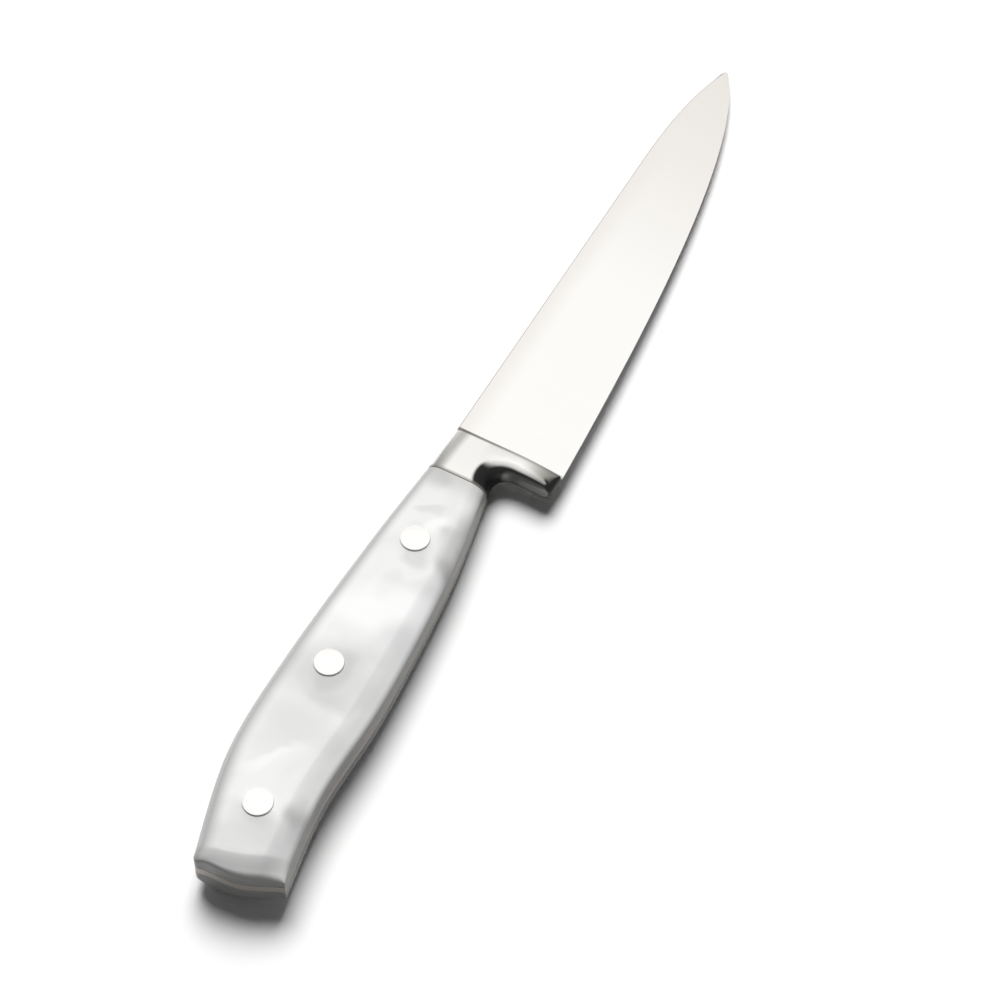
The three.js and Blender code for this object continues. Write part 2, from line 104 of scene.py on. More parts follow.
def lerp(start: float, end: float, share: float) -> float:
    """Value at a share of the way from start to end."""
    return start + (end - start) * share


class PlanPath:
    """An open line in plan, walked by its length."""

    def __init__(self, points: Sequence[Vector]) -> None:
        """Measures the line.

        Args:
            points: Its points, in order, close enough together to follow its curves.
        """
        self.points = [Vector(point) for point in points]
        self.reaches = [0.0]
        for before, after in zip(self.points, self.points[1:]):
            self.reaches.append(self.reaches[-1] + (after - before).length)

    @property
    def length(self) -> float:
        """Length of the whole line."""
        return self.reaches[-1]

    def at(self, share: float) -> Vector:
        """Point at a share of the line's length.

        Args:
            share: 0 at the start and 1 at the end.

        Returns:
            The point in plan.
        """
        reach = min(max(share, 0.0), 1.0) * self.length
        low, high = 0, len(self.reaches) - 1
        while high - low > 1:
            middle = (low + high) // 2
            if self.reaches[middle] <= reach:
                low = middle
            else:
                high = middle
        step = self.reaches[high] - self.reaches[low]
        return self.points[low].lerp(self.points[high], (reach - self.reaches[low]) / step)

    def spaced(self, count: int) -> list[Vector]:
        """Points at equal steps, both ends included."""
        return [self.at(i / count) for i in range(count + 1)]


def cubic(start: Vector, lead: Vector, trail: Vector, end: Vector, steps: int) -> list[Vector]:
    """Points of a cubic Bezier curve, both ends included."""
    return [Vector(point) for point in interpolate_bezier(start, lead, trail, end, steps + 1)]


def quadratic(start: Vector, control: Vector, end: Vector, steps: int) -> list[Vector]:
    """Points of a quadratic Bezier curve, both ends included."""
    return cubic(start, start.lerp(control, 2 / 3), end.lerp(control, 2 / 3), end, steps)


def spline(knots: Sequence[Vector], steps: int) -> list[Vector]:
    """Points of a smooth curve through knots, with each tangent along its neighbours' chord.

    Args:
        knots: The points that the curve passes through.
        steps: Steps between two knots.

    Returns:
        The curve's points, both ends included.
    """
    points = [knots[0]]
    last = len(knots) - 1
    for i in range(last):
        before, after = knots[max(i - 1, 0)], knots[min(i + 2, last)]
        lead = knots[i] + (knots[i + 1] - before) / CHORD_PARTS
        trail = knots[i + 1] - (after - knots[i]) / CHORD_PARTS
        points += cubic(knots[i], lead, trail, knots[i + 1], steps)[1:]
    return points


def height_at(points: Sequence[Vector], x: float) -> float:
    """Height of a line at one x.

    Args:
        points: The line's points, in rising order of x.
        x: Where to look.

    Returns:
        The height there, or the last point's past the end.
    """
    for before, after in zip(points, points[1:]):
        if x <= after.x:
            return lerp(before.y, after.y, (x - before.x) / (after.x - before.x))
    return points[-1].y


class Shaper:
    """Steps of mesh making that the pieces share. Meshes are in millimetres, in the knife's own frame."""

    @staticmethod
    def relief(columns: int, rows: int, place: Callable[[int, int], Vector]) -> BMesh:
        """One side of a piece as a sheet, from a grid whose points are moved to their places.

        Args:
            columns: Steps along the knife.
            rows: Steps across it.
            place: Gives the place of the point in a column and a row.

        Returns:
            The open sheet.
        """
        sheet = bmesh.new()
        bmesh.ops.create_grid(sheet, x_segments=columns, y_segments=rows, size=0.5)
        for vert in sheet.verts:
            vert.co = place(round((vert.co.x + 0.5) * columns), round((vert.co.y + 0.5) * rows))
        return sheet

    @staticmethod
    def wall_to(mesh: BMesh, level: float) -> None:
        """Adds upright walls from the open edges of a sheet.

        Args:
            mesh: The sheet.
            level: Height where the walls end.
        """
        rim = [edge for edge in mesh.edges if edge.is_boundary]
        grown = bmesh.ops.extrude_edge_only(mesh, edges=rim)["geom"]
        for vert in (item for item in grown if isinstance(item, BMVert)):
            vert.co.z = level

    @staticmethod
    def tidy(mesh: BMesh) -> BMesh:
        """Merges doubles, drops collapsed faces and turns faces outwards.

        Args:
            mesh: The mesh, which is changed.

        Returns:
            The same mesh.
        """
        bmesh.ops.remove_doubles(mesh, verts=mesh.verts[:], dist=MERGE_MM)
        bmesh.ops.dissolve_degenerate(mesh, edges=mesh.edges[:], dist=MERGE_MM)
        bmesh.ops.recalc_face_normals(mesh, faces=mesh.faces[:])
        return mesh

    @classmethod
    def mirrored(cls, sheet: BMesh) -> BMesh:
        """Closed solid of a sheet, its walls to the middle plane and its mirror image.

        Args:
            sheet: The right side, as an open sheet.

        Returns:
            The solid.
        """
        cls.wall_to(sheet, 0.0)
        geometry = sheet.verts[:] + sheet.edges[:] + sheet.faces[:]
        bmesh.ops.mirror(sheet, geom=geometry, matrix=Matrix.Identity(4), merge_dist=MERGE_MM, axis="Z")
        return cls.tidy(sheet)

    @classmethod
    def filled(cls, sheet: BMesh, level: float) -> BMesh:
        """Closed solid of a sheet, its walls to a level and a flat face there.

        Args:
            sheet: The outer side, as an open sheet.
            level: Height of the flat face.

        Returns:
            The solid.
        """
        cls.wall_to(sheet, level)
        rim = [edge for edge in sheet.edges if edge.is_boundary]
        bmesh.ops.holes_fill(sheet, edges=rim, sides=0)
        return cls.tidy(sheet)

    @classmethod
    def turned(cls, profile: Sequence[tuple[float, float]], steps: int) -> BMesh:
        """Solid of revolution about z.

        Args:
            profile: (radius, z) pairs, from the axis round the outside and back to the axis.
            steps: Steps of the turn.

        Returns:
            The closed solid.
        """
        mesh = bmesh.new()
        verts = [mesh.verts.new((radius, 0.0, z)) for radius, z in profile]
        edges = [mesh.edges.new(pair) for pair in zip(verts, verts[1:])]
        bmesh.ops.spin(
            mesh, geom=verts + edges, cent=(0, 0, 0), axis=(0, 0, 1), angle=FULL_TURN, steps=steps,
            use_merge=True,
        )
        return cls.tidy(mesh)

    @staticmethod
    def to_object(mesh: BMesh, name: str) -> bpy.types.Object:
        """New object in the scene that holds a mesh.

        Args:
            mesh: The mesh, which is freed.
            name: Name of the object and its data.

        Returns:
            The object.
        """
        data = bpy.data.meshes.new(name)
        mesh.to_mesh(data)
        mesh.free()
        made = bpy.data.objects.new(name, data)
        bpy.context.scene.collection.objects.link(made)
        return made

    @classmethod
    def combined(cls, base: BMesh, tools: Sequence[BMesh], operation: str) -> BMesh:
        """A solid with others joined to it or cut from it.

        Args:
            base: The solid to start from.
            tools: The solids to join or cut.
            operation: UNION or DIFFERENCE.

        Returns:
            The closed result. The solids that went in are freed.
        """
        target = cls.to_object(base, "base")
        helpers = [cls.to_object(tool, "tool") for tool in tools]
        for helper in helpers:
            step = target.modifiers.new(helper.name, "BOOLEAN")
            step.object, step.operation, step.solver = helper, operation, "EXACT"
        result = bmesh.new()
        result.from_object(target, bpy.context.evaluated_depsgraph_get())
        for spare in (target, *helpers):
            data = spare.data
            bpy.data.objects.remove(spare)
            bpy.data.meshes.remove(data)
        bmesh.ops.remove_doubles(result, verts=result.verts[:], dist=FINE_MERGE_MM)
        bmesh.ops.recalc_face_normals(result, faces=result.faces[:])
        return result


@dataclass
class Handle:
    """Outline and thickness of the handle, which the tang, the scales and the rivets share."""

    bolster_length: float = 12.7
    length: float = 104.1
    fore_station: float = 0.22
    swell_station: float = 0.53
    waist_station: float = 0.77
    back_at_fore: float = 1.3
    back_at_swell: float = 2.05
    back_at_waist: float = 0.7
    back_drop_at_butt: float = 6.4
    belly_at_front: float = 13.9
    belly_at_fore: float = 18.2
    belly_at_swell: float = 21.3
    belly_at_waist: float = 21.5
    belly_at_butt: float = 24.7
    butt_rake: float = 3.9
    butt_crown: float = 1.4
    butt_crown_fade: float = 8.0
    butt_corner: float = 1.2
    butt_corner_out: float = 0.9
    butt_corner_slope: float = 22.0
    front_thickness: float = 9.2
    butt_thickness: float = 14.0
    shoulder_width: float = 4.0
    butt_shoulder_depth: float = 3.8
    rear_shoulder_width: float = 5.0
    facet_start: float = 0.12
    facet_full: float = 0.5
    facet_ease: float = 1.3
    belly_facet: tuple[float, float] = (0.72, 0.42)
    butt_shoulder_width: float = 4.8
    butt_back_width: float = 3.0
    butt_drop: float = 4.3
    butt_back_drop: float = 3.2
    butt_facet: tuple[float, float] = (0.66, 0.42)
    length_steps: int = 90
    corner_steps: int = 12
    facet_steps: int = 6
    land_steps: int = 16
    curve_steps: int = 48
    back: PlanPath = field(init=False)
    belly: PlanPath = field(init=False)

    def __post_init__(self) -> None:
        """Draws the outline's two lines, each from the bolster to the butt."""
        corner = Vector((self.butt_x - self.butt_corner_out, -self.back_drop_at_butt))
        beak = Vector((self.butt_x + self.butt_rake, -self.belly_at_butt))
        slope = math.radians(self.butt_corner_slope)
        corner_start = corner + self.butt_corner * Vector((math.cos(slope), math.sin(slope)))
        corner_end = corner + self.butt_corner * (beak - corner).normalized()
        back = [
            Vector((self.joint_x, 0.0)),
            self.station(self.fore_station, self.back_at_fore),
            self.station(self.swell_station, self.back_at_swell),
            self.station(self.waist_station, self.back_at_waist),
            corner_start,
        ]
        belly = [
            Vector((self.joint_x, -self.belly_at_front)),
            self.station(self.fore_station, -self.belly_at_fore),
            self.station(self.swell_station, -self.belly_at_swell),
            self.station(self.waist_station, -self.belly_at_waist),
            beak,
        ]
        turn = quadratic(corner_start, corner, corner_end, self.curve_steps)
        self.back = PlanPath(spline(back, self.curve_steps) + turn[1:])
        self.belly = PlanPath(spline(belly, self.curve_steps))

    @property
    def joint_x(self) -> float:
        """Where the scales meet the bolster."""
        return -self.bolster_length

    @property
    def butt_x(self) -> float:
        """Where the back turns into the butt."""
        return self.joint_x - self.length

    @property
    def slope(self) -> float:
        """Rise of the right scale's face towards the tip, which is negative."""
        return (self.front_thickness - self.butt_thickness) / (2 * self.length)

    @property
    def shoulder_steps(self) -> int:
        """Steps of a shoulder, from its outer edge to the face."""
        return self.corner_steps + self.facet_steps

    @property
    def columns(self) -> int:
        """Steps along the handle, the facetted butt included."""
        return self.shoulder_steps + self.length_steps

    @property
    def rows(self) -> int:
        """Steps across the handle, both shoulders included."""
        return 2 * self.shoulder_steps + self.land_steps

    def station(self, share: float, y: float) -> Vector:
        """Point in plan at a share of the handle's length."""
        return Vector((self.joint_x - share * self.length, y))

    def half(self, x: float) -> float:
        """Half thickness at one x."""
        return self.front_thickness / 2 + self.slope * (x - self.joint_x)

    def shoulder_depth(self, x: float) -> float:
        """How deep the rounded shoulders reach at one x."""
        return self.butt_shoulder_depth * 2 * self.half(x) / self.butt_thickness

    def across(self, share: float, distance: float) -> Vector:
        """Place in plan on a line across the handle, which is bowed near the butt.

        Args:
            share: Share of the handle's length, from the bolster.
            distance: Share of the way from the back to the belly.

        Returns:
            The place in plan.
        """
        place = self.back.at(share).lerp(self.belly.at(share), distance)
        bow = self.butt_crown * share**self.butt_crown_fade
        place.x -= bow * (4 * distance * (1 - distance)) ** 2
        return place

    def facet_at(self, share: float) -> float:
        """How far the belly's shoulder has grown from a round into a facet.

        Args:
            share: Share of the handle's length, from the bolster.

        Returns:
            0 for a round and 1 for a facet.
        """
        passed = (share - self.facet_start) / (self.facet_full - self.facet_start)
        passed = min(max(passed, 0.0), 1.0)
        return passed * passed * (3 - 2 * passed)

    def round_point(self, step: int) -> Vector:
        """One step of a rounded shoulder, from its outer edge, as shares of its width and of its depth."""
        turn = QUARTER_TURN * step / self.shoulder_steps
        return Vector((1 - math.cos(turn), 1 - math.sin(turn)))

    def facet_point(self, step: int, facet: tuple[float, float]) -> Vector:
        """One step of a facetted shoulder with a rounded outer corner, from its outer edge to the face.

        Args:
            step: Number of the step.
            facet: Shares of the shoulder's width and of its depth that the facet takes.

        Returns:
            Its share of the shoulder's width, and its share of the depth below the face.
        """
        share, sink = facet
        on_corner = min(1.0, step / self.corner_steps)
        edge = Vector((0.0, 1.0))
        meeting = Vector((0.0, sink / share))
        facet_end = Vector((1 - share, sink))
        corner = edge.lerp(meeting, on_corner).lerp(meeting.lerp(facet_end, on_corner), on_corner)
        passed = max(0, step - self.corner_steps) / self.facet_steps
        return Vector((lerp(corner.x, 1.0, passed), corner.y * (1 - passed) ** self.facet_ease))

    def column_at(self, column: int, lean: float, front_gap: float) -> tuple[float, float]:
        """Where a column of the sheet crosses the handle.

        Args:
            column: Number of the column, from the butt.
            lean: Share of the rows from the back to the belly, where the butt's facet is wider.
            front_gap: Gap to the bolster at the last column.

        Returns:
            Its share of the handle's length, and how far the face is lowered there.
        """
        round_start = 1 - lerp(self.butt_back_width, self.butt_shoulder_width, lean) / self.belly.length
        if column < self.shoulder_steps:
            point = self.facet_point(column, self.butt_facet)
            drop = lerp(self.butt_back_drop, self.butt_drop, lean)
            return lerp(1.0, round_start, point.x), drop * point.y
        passed = (column - self.shoulder_steps) / self.length_steps
        return lerp(round_start, front_gap / self.belly.length, passed), 0.0

    def row_at(self, row: int, share: float, span: float) -> tuple[float, float]:
        """Where a row of the sheet runs along the handle.

        Args:
            row: Number of the row, from the back.
            share: Share of the handle's length.
            span: Length of the line across the handle there.

        Returns:
            Its share of the way to the belly, and how far under the face it lies, as a share of the
            shoulder's depth.
        """
        facet = self.facet_at(share)
        shoulder = lerp(self.shoulder_width, self.rear_shoulder_width, facet) / span
        if row <= self.shoulder_steps:
            point = self.round_point(row)
            return shoulder * point.x, point.y
        if row >= self.shoulder_steps + self.land_steps:
            step = self.rows - row
            point = self.round_point(step).lerp(self.facet_point(step, self.belly_facet), facet)
            return 1 - shoulder * point.x, point.y
        return lerp(shoulder, 1 - shoulder, (row - self.shoulder_steps) / self.land_steps), 0.0

    def face(self, column: int, row: int, front_gap: float) -> Vector:
        """Point of the right scale's outer face.

        Args:
            column: Number of the column, from the butt.
            row: Number of the row, from the back.
            front_gap: Gap to the bolster at the last column.

        Returns:
            The point.
        """
        share, drop = self.column_at(column, row / self.rows, front_gap)
        top, low = self.across(share, 0.0), self.across(share, 1.0)
        distance, sink = self.row_at(row, share, (top - low).length)
        place = self.across(share, distance)
        edge = top if row <= self.rows / 2 else low
        depth = max(0.0, self.shoulder_depth(edge.x) - drop)
        return Vector((place.x, place.y, self.half(place.x) - drop - depth * sink))


@dataclass
class Placement:
    """How the knife lies: tipped until its left scale is level, and set down where the frame has it.

    Args:
        handle: The handle, whose taper tips the knife.
        tip_x: Where the blade's blunt tip ends.
        rivet_drop: Drop of the front rivet below the back of the blade.
    """

    handle: Handle
    tip_x: float
    rivet_drop: float
    turn: Matrix = field(init=False)
    matrix: Matrix = field(init=False)

    def __post_init__(self) -> None:
        """Finds the place of the knife's own origin from the boxes of its nodes."""
        tip_box, rivet_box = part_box("blade"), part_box("rivet_pin_front")
        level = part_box("scale_left")[0].z / METRES_PER_MM
        self.turn = Matrix.Rotation(-math.atan(self.handle.slope), 4, "Y")
        tip = self.turn @ Vector((self.tip_x, 0.0, 0.0))
        joint = Vector((self.handle.joint_x, 0.0, -self.handle.half(self.handle.joint_x)))
        origin = Vector((
            tip_box[1].x / METRES_PER_MM - tip.x,
            (rivet_box[0].y + rivet_box[1].y) / 2 / METRES_PER_MM + self.rivet_drop,
            level - (self.turn @ joint).z,
        ))
        scale = Matrix.Scale(METRES_PER_MM, 4)
        self.matrix = scale @ Matrix.Translation(origin) @ self.turn

    def point(self, place: Vector) -> Vector:
        """Point of the knife's own frame, in metres in the row's frame."""
        return self.matrix @ place


class Value:
    """A node's output, which adds Math nodes where it is used in an expression."""

    def __init__(self, shader: "Shader", socket: bpy.types.NodeSocket | None) -> None:
        """Holds an output.

        Args:
            shader: The node tree that it belongs to.
            socket: The output socket, or none for a node without outputs.
        """
        self.shader = shader
        self.socket = socket

    def _math(self, operation: str, first: "Operand", second: "Operand") -> "Value":
        """One Math node of two values."""
        return self.shader.node("ShaderNodeMath", {"operation": operation}, {0: first, 1: second})

    def __add__(self, other: "Operand") -> "Value":
        """Sum."""
        return self._math("ADD", self, other)

    def __radd__(self, other: "Operand") -> "Value":
        """Sum, the number first."""
        return self._math("ADD", other, self)

    def __sub__(self, other: "Operand") -> "Value":
        """Difference."""
        return self._math("SUBTRACT", self, other)

    def __rsub__(self, other: "Operand") -> "Value":
        """Difference, the number first."""
        return self._math("SUBTRACT", other, self)

    def __mul__(self, other: "Operand") -> "Value":
        """Product."""
        return self._math("MULTIPLY", self, other)

    def __rmul__(self, other: "Operand") -> "Value":
        """Product, the number first."""
        return self._math("MULTIPLY", other, self)

    def __or__(self, other: "Value") -> "Value":
        """Mask of what is in either of two masks."""
        return self + other - self * other

    def swing(self, reach: float) -> "Value":
        """Swing of a noise about 0, half its reach to either side."""
        return (self - NOISE_MIDDLE) * reach

    def band(self, start: Number, full: Number, fade: Number, end: Number) -> "Value":
        """Mask of a band, which rises from start to full and falls from fade to end."""
        return self.ramp(start, full) * self.ramp(end, fade)

    def ramp(self, low: Number, high: Number, start: Number = 0.0, end: Number = 1.0) -> "Value":
        """Smooth change as this value goes from one bound to another.

        Args:
            low: First bound, which may be the larger one.
            high: Second bound.
            start: Result up to the first bound.
            end: Result past the second bound.

        Returns:
            The changing value.
        """
        return self.shader.node(
            "ShaderNodeMapRange",
            {"interpolation_type": "SMOOTHSTEP"},
            {"Value": self, "From Min": low, "From Max": high, "To Min": start, "To Max": end},
        )


Operand = Union[Value, Number]


class Shader:
    """A node tree that is built up by calls."""

    def __init__(self, tree: bpy.types.NodeTree) -> None:
        """Starts an empty tree.

        Args:
            tree: The tree, which loses the nodes that it has.
        """
        self.tree = tree
        tree.nodes.clear()

    def node(
        self,
        kind: str,
        settings: dict[str, object] | None = None,
        inputs: dict[str | int, object] | None = None,
        output: str | int = 0,
    ) -> Value:
        """Adds a node.

        Args:
            kind: Blender's name of the node's type.
            settings: Its properties, or stops for a colour ramp, as (place, colour) pairs.
            inputs: Values or links of its sockets, by name or number.
            output: The output to hand back.

        Returns:
            That output, with no socket where the node has none.
        """
        made = self.tree.nodes.new(kind)
        for name, setting in (settings or {}).items():
            if name == "stops":
                self._set_stops(made.color_ramp, setting)
            else:
                setattr(made, name, setting)
        for key, value in (inputs or {}).items():
            if isinstance(value, Value):
                self.tree.links.new(value.socket, made.inputs[key])
            else:
                made.inputs[key].default_value = value
        return Value(self, made.outputs[output] if len(made.outputs) else None)

    @staticmethod
    def _set_stops(ramp: bpy.types.ColorRamp, stops: Sequence[tuple[float, Colour]]) -> None:
        """Gives a colour ramp its stops.

        Args:
            ramp: The colour ramp.
            stops: (place, colour) pairs, in rising order.
        """
        while len(ramp.elements) < len(stops):
            ramp.elements.new(1.0)
        for element, (place, colour) in zip(ramp.elements, stops):
            element.position, element.color = place, colour

    def coordinates(self, kind: str = "Object") -> Value:
        """Texture coordinates of one kind."""
        return self.node("ShaderNodeTexCoord", output=kind)

    def mapped(self, vector: Value, scale: Sequence[float], location: Sequence[float] = (0, 0, 0)) -> Value:
        """Coordinates that are scaled, then moved."""
        return self.node("ShaderNodeMapping", {}, {"Vector": vector, "Scale": scale, "Location": location})

    def noise(self, vector: Value, scale: float, detail: float, distortion: float = 0.0) -> Value:
        """Noise from 0 to 1."""
        sockets = {"Vector": vector, "Scale": scale, "Detail": detail, "Distortion": distortion}
        return self.node("ShaderNodeTexNoise", {}, sockets)

    def axis(self, vector: Value, name: str) -> Value:
        """One axis of a vector."""
        return self.node("ShaderNodeSeparateXYZ", {}, {0: vector}, name)

    def flatness(self, normal: Value) -> Value:
        """1 on a level face and 0 on an upright one, whichever side it is on."""
        return self.node("ShaderNodeMath", {"operation": "ABSOLUTE"}, {0: self.axis(normal, "Z")})

    def in_view(self) -> Value:
        """Tells what is seen from what only lights.

        Returns:
            1 for rays from the camera, from reflections and through glass, and 0 for the others.
        """
        kinds = ("Is Camera Ray", "Is Glossy Ray", "Is Transmission Ray")
        seen, mirrored, refracted = (self.node("ShaderNodeLightPath", output=kind) for kind in kinds)
        return seen + mirrored + refracted

    def drifted(self, place: Value, scale: float, detail: float, reach: float) -> Value:
        """Coordinates that are pushed about by a noise.

        Args:
            place: The coordinates.
            scale: Scale of the noise.
            detail: Detail of the noise.
            reach: How far the noise pushes, in metres.

        Returns:
            The pushed coordinates.
        """
        sockets = {"Vector": place, "Scale": scale, "Detail": detail}
        flow = self.node("ShaderNodeTexNoise", {}, sockets, "Color")
        middle = (NOISE_MIDDLE, NOISE_MIDDLE, NOISE_MIDDLE)
        centred = self.node("ShaderNodeVectorMath", {"operation": "SUBTRACT"}, {0: flow, 1: middle})
        push = {0: centred, 1: (reach, reach, reach), 2: place}
        return self.node("ShaderNodeVectorMath", {"operation": "MULTIPLY_ADD"}, push)

    def mixed(self, factor: Value, first: object, second: object) -> Value:
        """Colour between two colours."""
        return self.node("ShaderNodeMix", {"data_type": "RGBA"}, {0: factor, 6: first, 7: second}, 2)

    def bumped(self, height: Value, strength: float, distance: float) -> Value:
        """Normal of a bumped surface, the distance in metres."""
        sockets = {"Height": height, "Strength": strength, "Distance": distance}
        return self.node("ShaderNodeBump", {}, sockets)

    def surface(self, inputs: dict[str | int, object]) -> None:
        """Principled surface on the material's output."""
        shaded = self.node("ShaderNodeBsdfPrincipled", {}, inputs)
        self.node("ShaderNodeOutputMaterial", {}, {"Surface": shaded})


def new_material(name: str) -> tuple[bpy.types.Material, Shader]:
    """Makes an empty material.

    Args:
        name: Its name.

    Returns:
        The material and its node tree.
    """
    material = bpy.data.materials.new(name)
    material.use_nodes = True
    return material, Shader(material.node_tree)


@dataclass(frozen=True)
class ForgedSteel:
    """Steel of the forging: satin, darker towards the tip and duller on the tang, with painted shade in the
    finger notch, along the bolster's back, on the spine's eased corners and in the corner before the
    bolster.

    Lengths are in metres, and bounds on the surface's normal have no unit.

    Args:
        bolster_front: Where the blade meets the bolster, in metres along X.
        handle_joint: Where the bolster meets the scales, in metres along X.
        back: The back of the blade, in metres along Y.
        heel: The heel of the blade, in metres along Y.
    """

    bolster_front: float
    handle_joint: float
    back: float
    heel: float
    blend: float = 0.0004
    blade_colour: Colour = (0.89, 0.887, 0.88, 1.0)
    tip_colour: Colour = (0.80, 0.778, 0.75, 1.0)
    tip_start: float = 0.045
    tip_full: float = 0.105
    back_darkening_width: float = 0.006
    back_darkening_share: float = 0.8
    # Painted shade on the spine's eased corners, which face the back.
    spine_shade_colour: Colour = (0.30, 0.295, 0.29, 1.0)
    spine_start: float = 0.12
    spine_full: float = 0.55
    bolster_colour: Colour = (0.923, 0.92, 0.904, 1.0)
    # Painted shade in a band along the bolster's rounded back.
    rim_shade_colour: Colour = (0.52, 0.515, 0.505, 1.0)
    rim_start: float = 0.0044
    rim_full: float = 0.0024
    rim_fade: float = 0.002
    rim_end: float = 0.0005
    chin_colour: Colour = (0.34, 0.335, 0.305, 1.0)
    chin_top: float = 0.0165
    chin_low: float = 0.0245
    tang_colour: Colour = (0.30, 0.28, 0.262, 1.0)
    # Painted shade in the corner before the bolster, weaker towards the heel.
    corner_shade_colour: Colour = (0.13, 0.12, 0.11, 1.0)
    corner_width: float = 0.001
    corner_core: float = 0.0005
    corner_at_back: float = 0.9
    corner_at_heel: float = 0.35
    joint_shade: float = 0.0011
    # Painted shade in the finger notch: near black on its roof, lighter on the wall before the chin.
    roof_shade_colour: Colour = (0.035, 0.035, 0.034, 1.0)
    wall_shade_colour: Colour = (0.19, 0.188, 0.184, 1.0)
    wall_start: float = -0.6
    wall_full: float = -0.95
    notch_roughness: float = 0.42
    notch_shade_top: float = 0.0078
    notch_shade_low: float = 0.0096
    roof_end: float = 0.005
    roof_full: float = 0.0075
    roof_flat: float = -0.04
    roof_steep: float = -0.2
    notch_shade_flat: float = 0.985
    notch_shade_steep: float = 0.84
    blade_roughness: float = 0.2
    bolster_roughness: float = 0.26
    tang_roughness: float = 0.36
    grind_lines: tuple[float, float, float] = (9000.0, 260.0, 260.0)
    grind_depth: float = 0.000004
    grind_bump: float = 0.25
    grind_gloss: float = 0.08
    mottle_scale: float = 55.0
    mottle_gloss: float = 0.06

    def notch_shade(self, shader: Shader, along: Value, across: Value, normal: Value) -> Value:
        """Mask of the painted shade on the notch's rounded roof and on the bolster's steep low faces,
        standing in for the shadowed floor that they mirror.

        Args:
            shader: The node tree.
            along: Place along X.
            across: Place along Y.
            normal: The surface's normal.

        Returns:
            The mask.
        """
        front = self.bolster_front
        over_notch = along.ramp(front - self.roof_end, front - self.roof_full)
        on_roof = shader.axis(normal, "Y").ramp(self.roof_flat, self.roof_steep) * over_notch
        off_blade = along.ramp(front + self.blend, front - self.blend)
        on_steep = shader.flatness(normal).ramp(self.notch_shade_flat, self.notch_shade_steep) * off_blade
        low_down = across.ramp(self.back - self.notch_shade_top, self.back - self.notch_shade_low)
        return (on_roof | on_steep) * low_down

    def bolster(self, shader: Shader, across: Value) -> Value:
        """Colour of the bolster, darker down its chin, with a band of painted shade along its rounded back.

        Args:
            shader: The node tree.
            across: Place along Y.

        Returns:
            The colour.
        """
        on_chin = across.ramp(self.back - self.chin_top, self.back - self.chin_low)
        plain = shader.mixed(on_chin, self.bolster_colour, self.chin_colour)
        # Painted shade in a band along the bolster's rounded back.
        insets = (self.rim_start, self.rim_full, self.rim_fade, self.rim_end)
        on_rim_shade = across.band(*(self.back - inset for inset in insets))
        return shader.mixed(on_rim_shade, plain, self.rim_shade_colour)

    def blade(self, shader: Shader, along: Value, across: Value, normal: Value) -> Value:
        """Colour of the blade, darker towards its tip and its back, with painted shade on the spine's eased
        corners.

        Args:
            shader: The node tree.
            along: Place along X.
            across: Place along Y.
            normal: The surface's normal.

        Returns:
            The colour.
        """
        to_tip = along.ramp(self.bolster_front + self.tip_start, self.bolster_front + self.tip_full)
        to_back = across.ramp(self.back - self.back_darkening_width, self.back, 0.0, self.back_darkening_share)
        darkened = shader.mixed(to_tip | to_back, self.blade_colour, self.tip_colour)
        # Painted shade on the spine's eased corners, which face the back.
        on_spine_shade = shader.axis(normal, "Y").ramp(self.spine_start, self.spine_full)
        return shader.mixed(on_spine_shade, darkened, self.spine_shade_colour)

    def corner(self, along: Value, across: Value) -> Value:
        """Mask of the painted shade in the corner before the bolster, which is weaker towards the heel.

        Args:
            along: Place along X.
            across: Place along Y.

        Returns:
            The mask.
        """
        offsets = (-self.corner_width, -self.corner_core, self.corner_core, self.corner_width)
        at_front = along.band(*(self.bolster_front + offset for offset in offsets))
        return at_front * across.ramp(self.heel, self.back, self.corner_at_heel, self.corner_at_back)

    def material(self) -> bpy.types.Material:
        """Material of the forging.

        Returns:
            The material.
        """
        material, shader = new_material("forged_steel")
        place, normal = shader.coordinates(), shader.coordinates("Normal")
        along, across = shader.axis(place, "X"), shader.axis(place, "Y")
        on_blade = along.ramp(self.bolster_front - self.blend, self.bolster_front + self.blend)
        on_tang = along.ramp(self.handle_joint + self.joint_shade, self.handle_joint)
        notch_shade = self.notch_shade(shader, along, across, normal)
        blade = self.blade(shader, along, across, normal)
        colour = shader.mixed(on_blade, self.bolster(shader, across), blade)
        # Painted shade in the corner where the blade meets the bolster.
        colour = shader.mixed(self.corner(along, across), colour, self.corner_shade_colour)
        # Painted shade in the finger notch: near black on the roof, lighter on the wall before the chin.
        on_wall = shader.axis(normal, "X").ramp(self.wall_start, self.wall_full)
        scaled = shader.mixed(on_wall, self.roof_shade_colour, self.wall_shade_colour)
        colour = shader.mixed(notch_shade, colour, scaled)
        colour = shader.mixed(on_tang, colour, self.tang_colour)
        grind = shader.noise(shader.mapped(place, self.grind_lines), scale=1.0, detail=2.0)
        mottle = shader.noise(place, self.mottle_scale, detail=3.0, distortion=0.4)
        roughness = (
            self.bolster_roughness
            + on_blade * (self.blade_roughness - self.bolster_roughness)
            + on_tang * (self.tang_roughness - self.bolster_roughness)
            + notch_shade * (self.notch_roughness - self.bolster_roughness)
            + grind.swing(self.grind_gloss)
            + mottle.swing(self.mottle_gloss)
        )
        shader.surface({
            "Base Color": colour,
            "Metallic": 1.0,
            "Roughness": roughness,
            "Normal": shader.bumped(grind, self.grind_bump, self.grind_depth),
        })
        return material


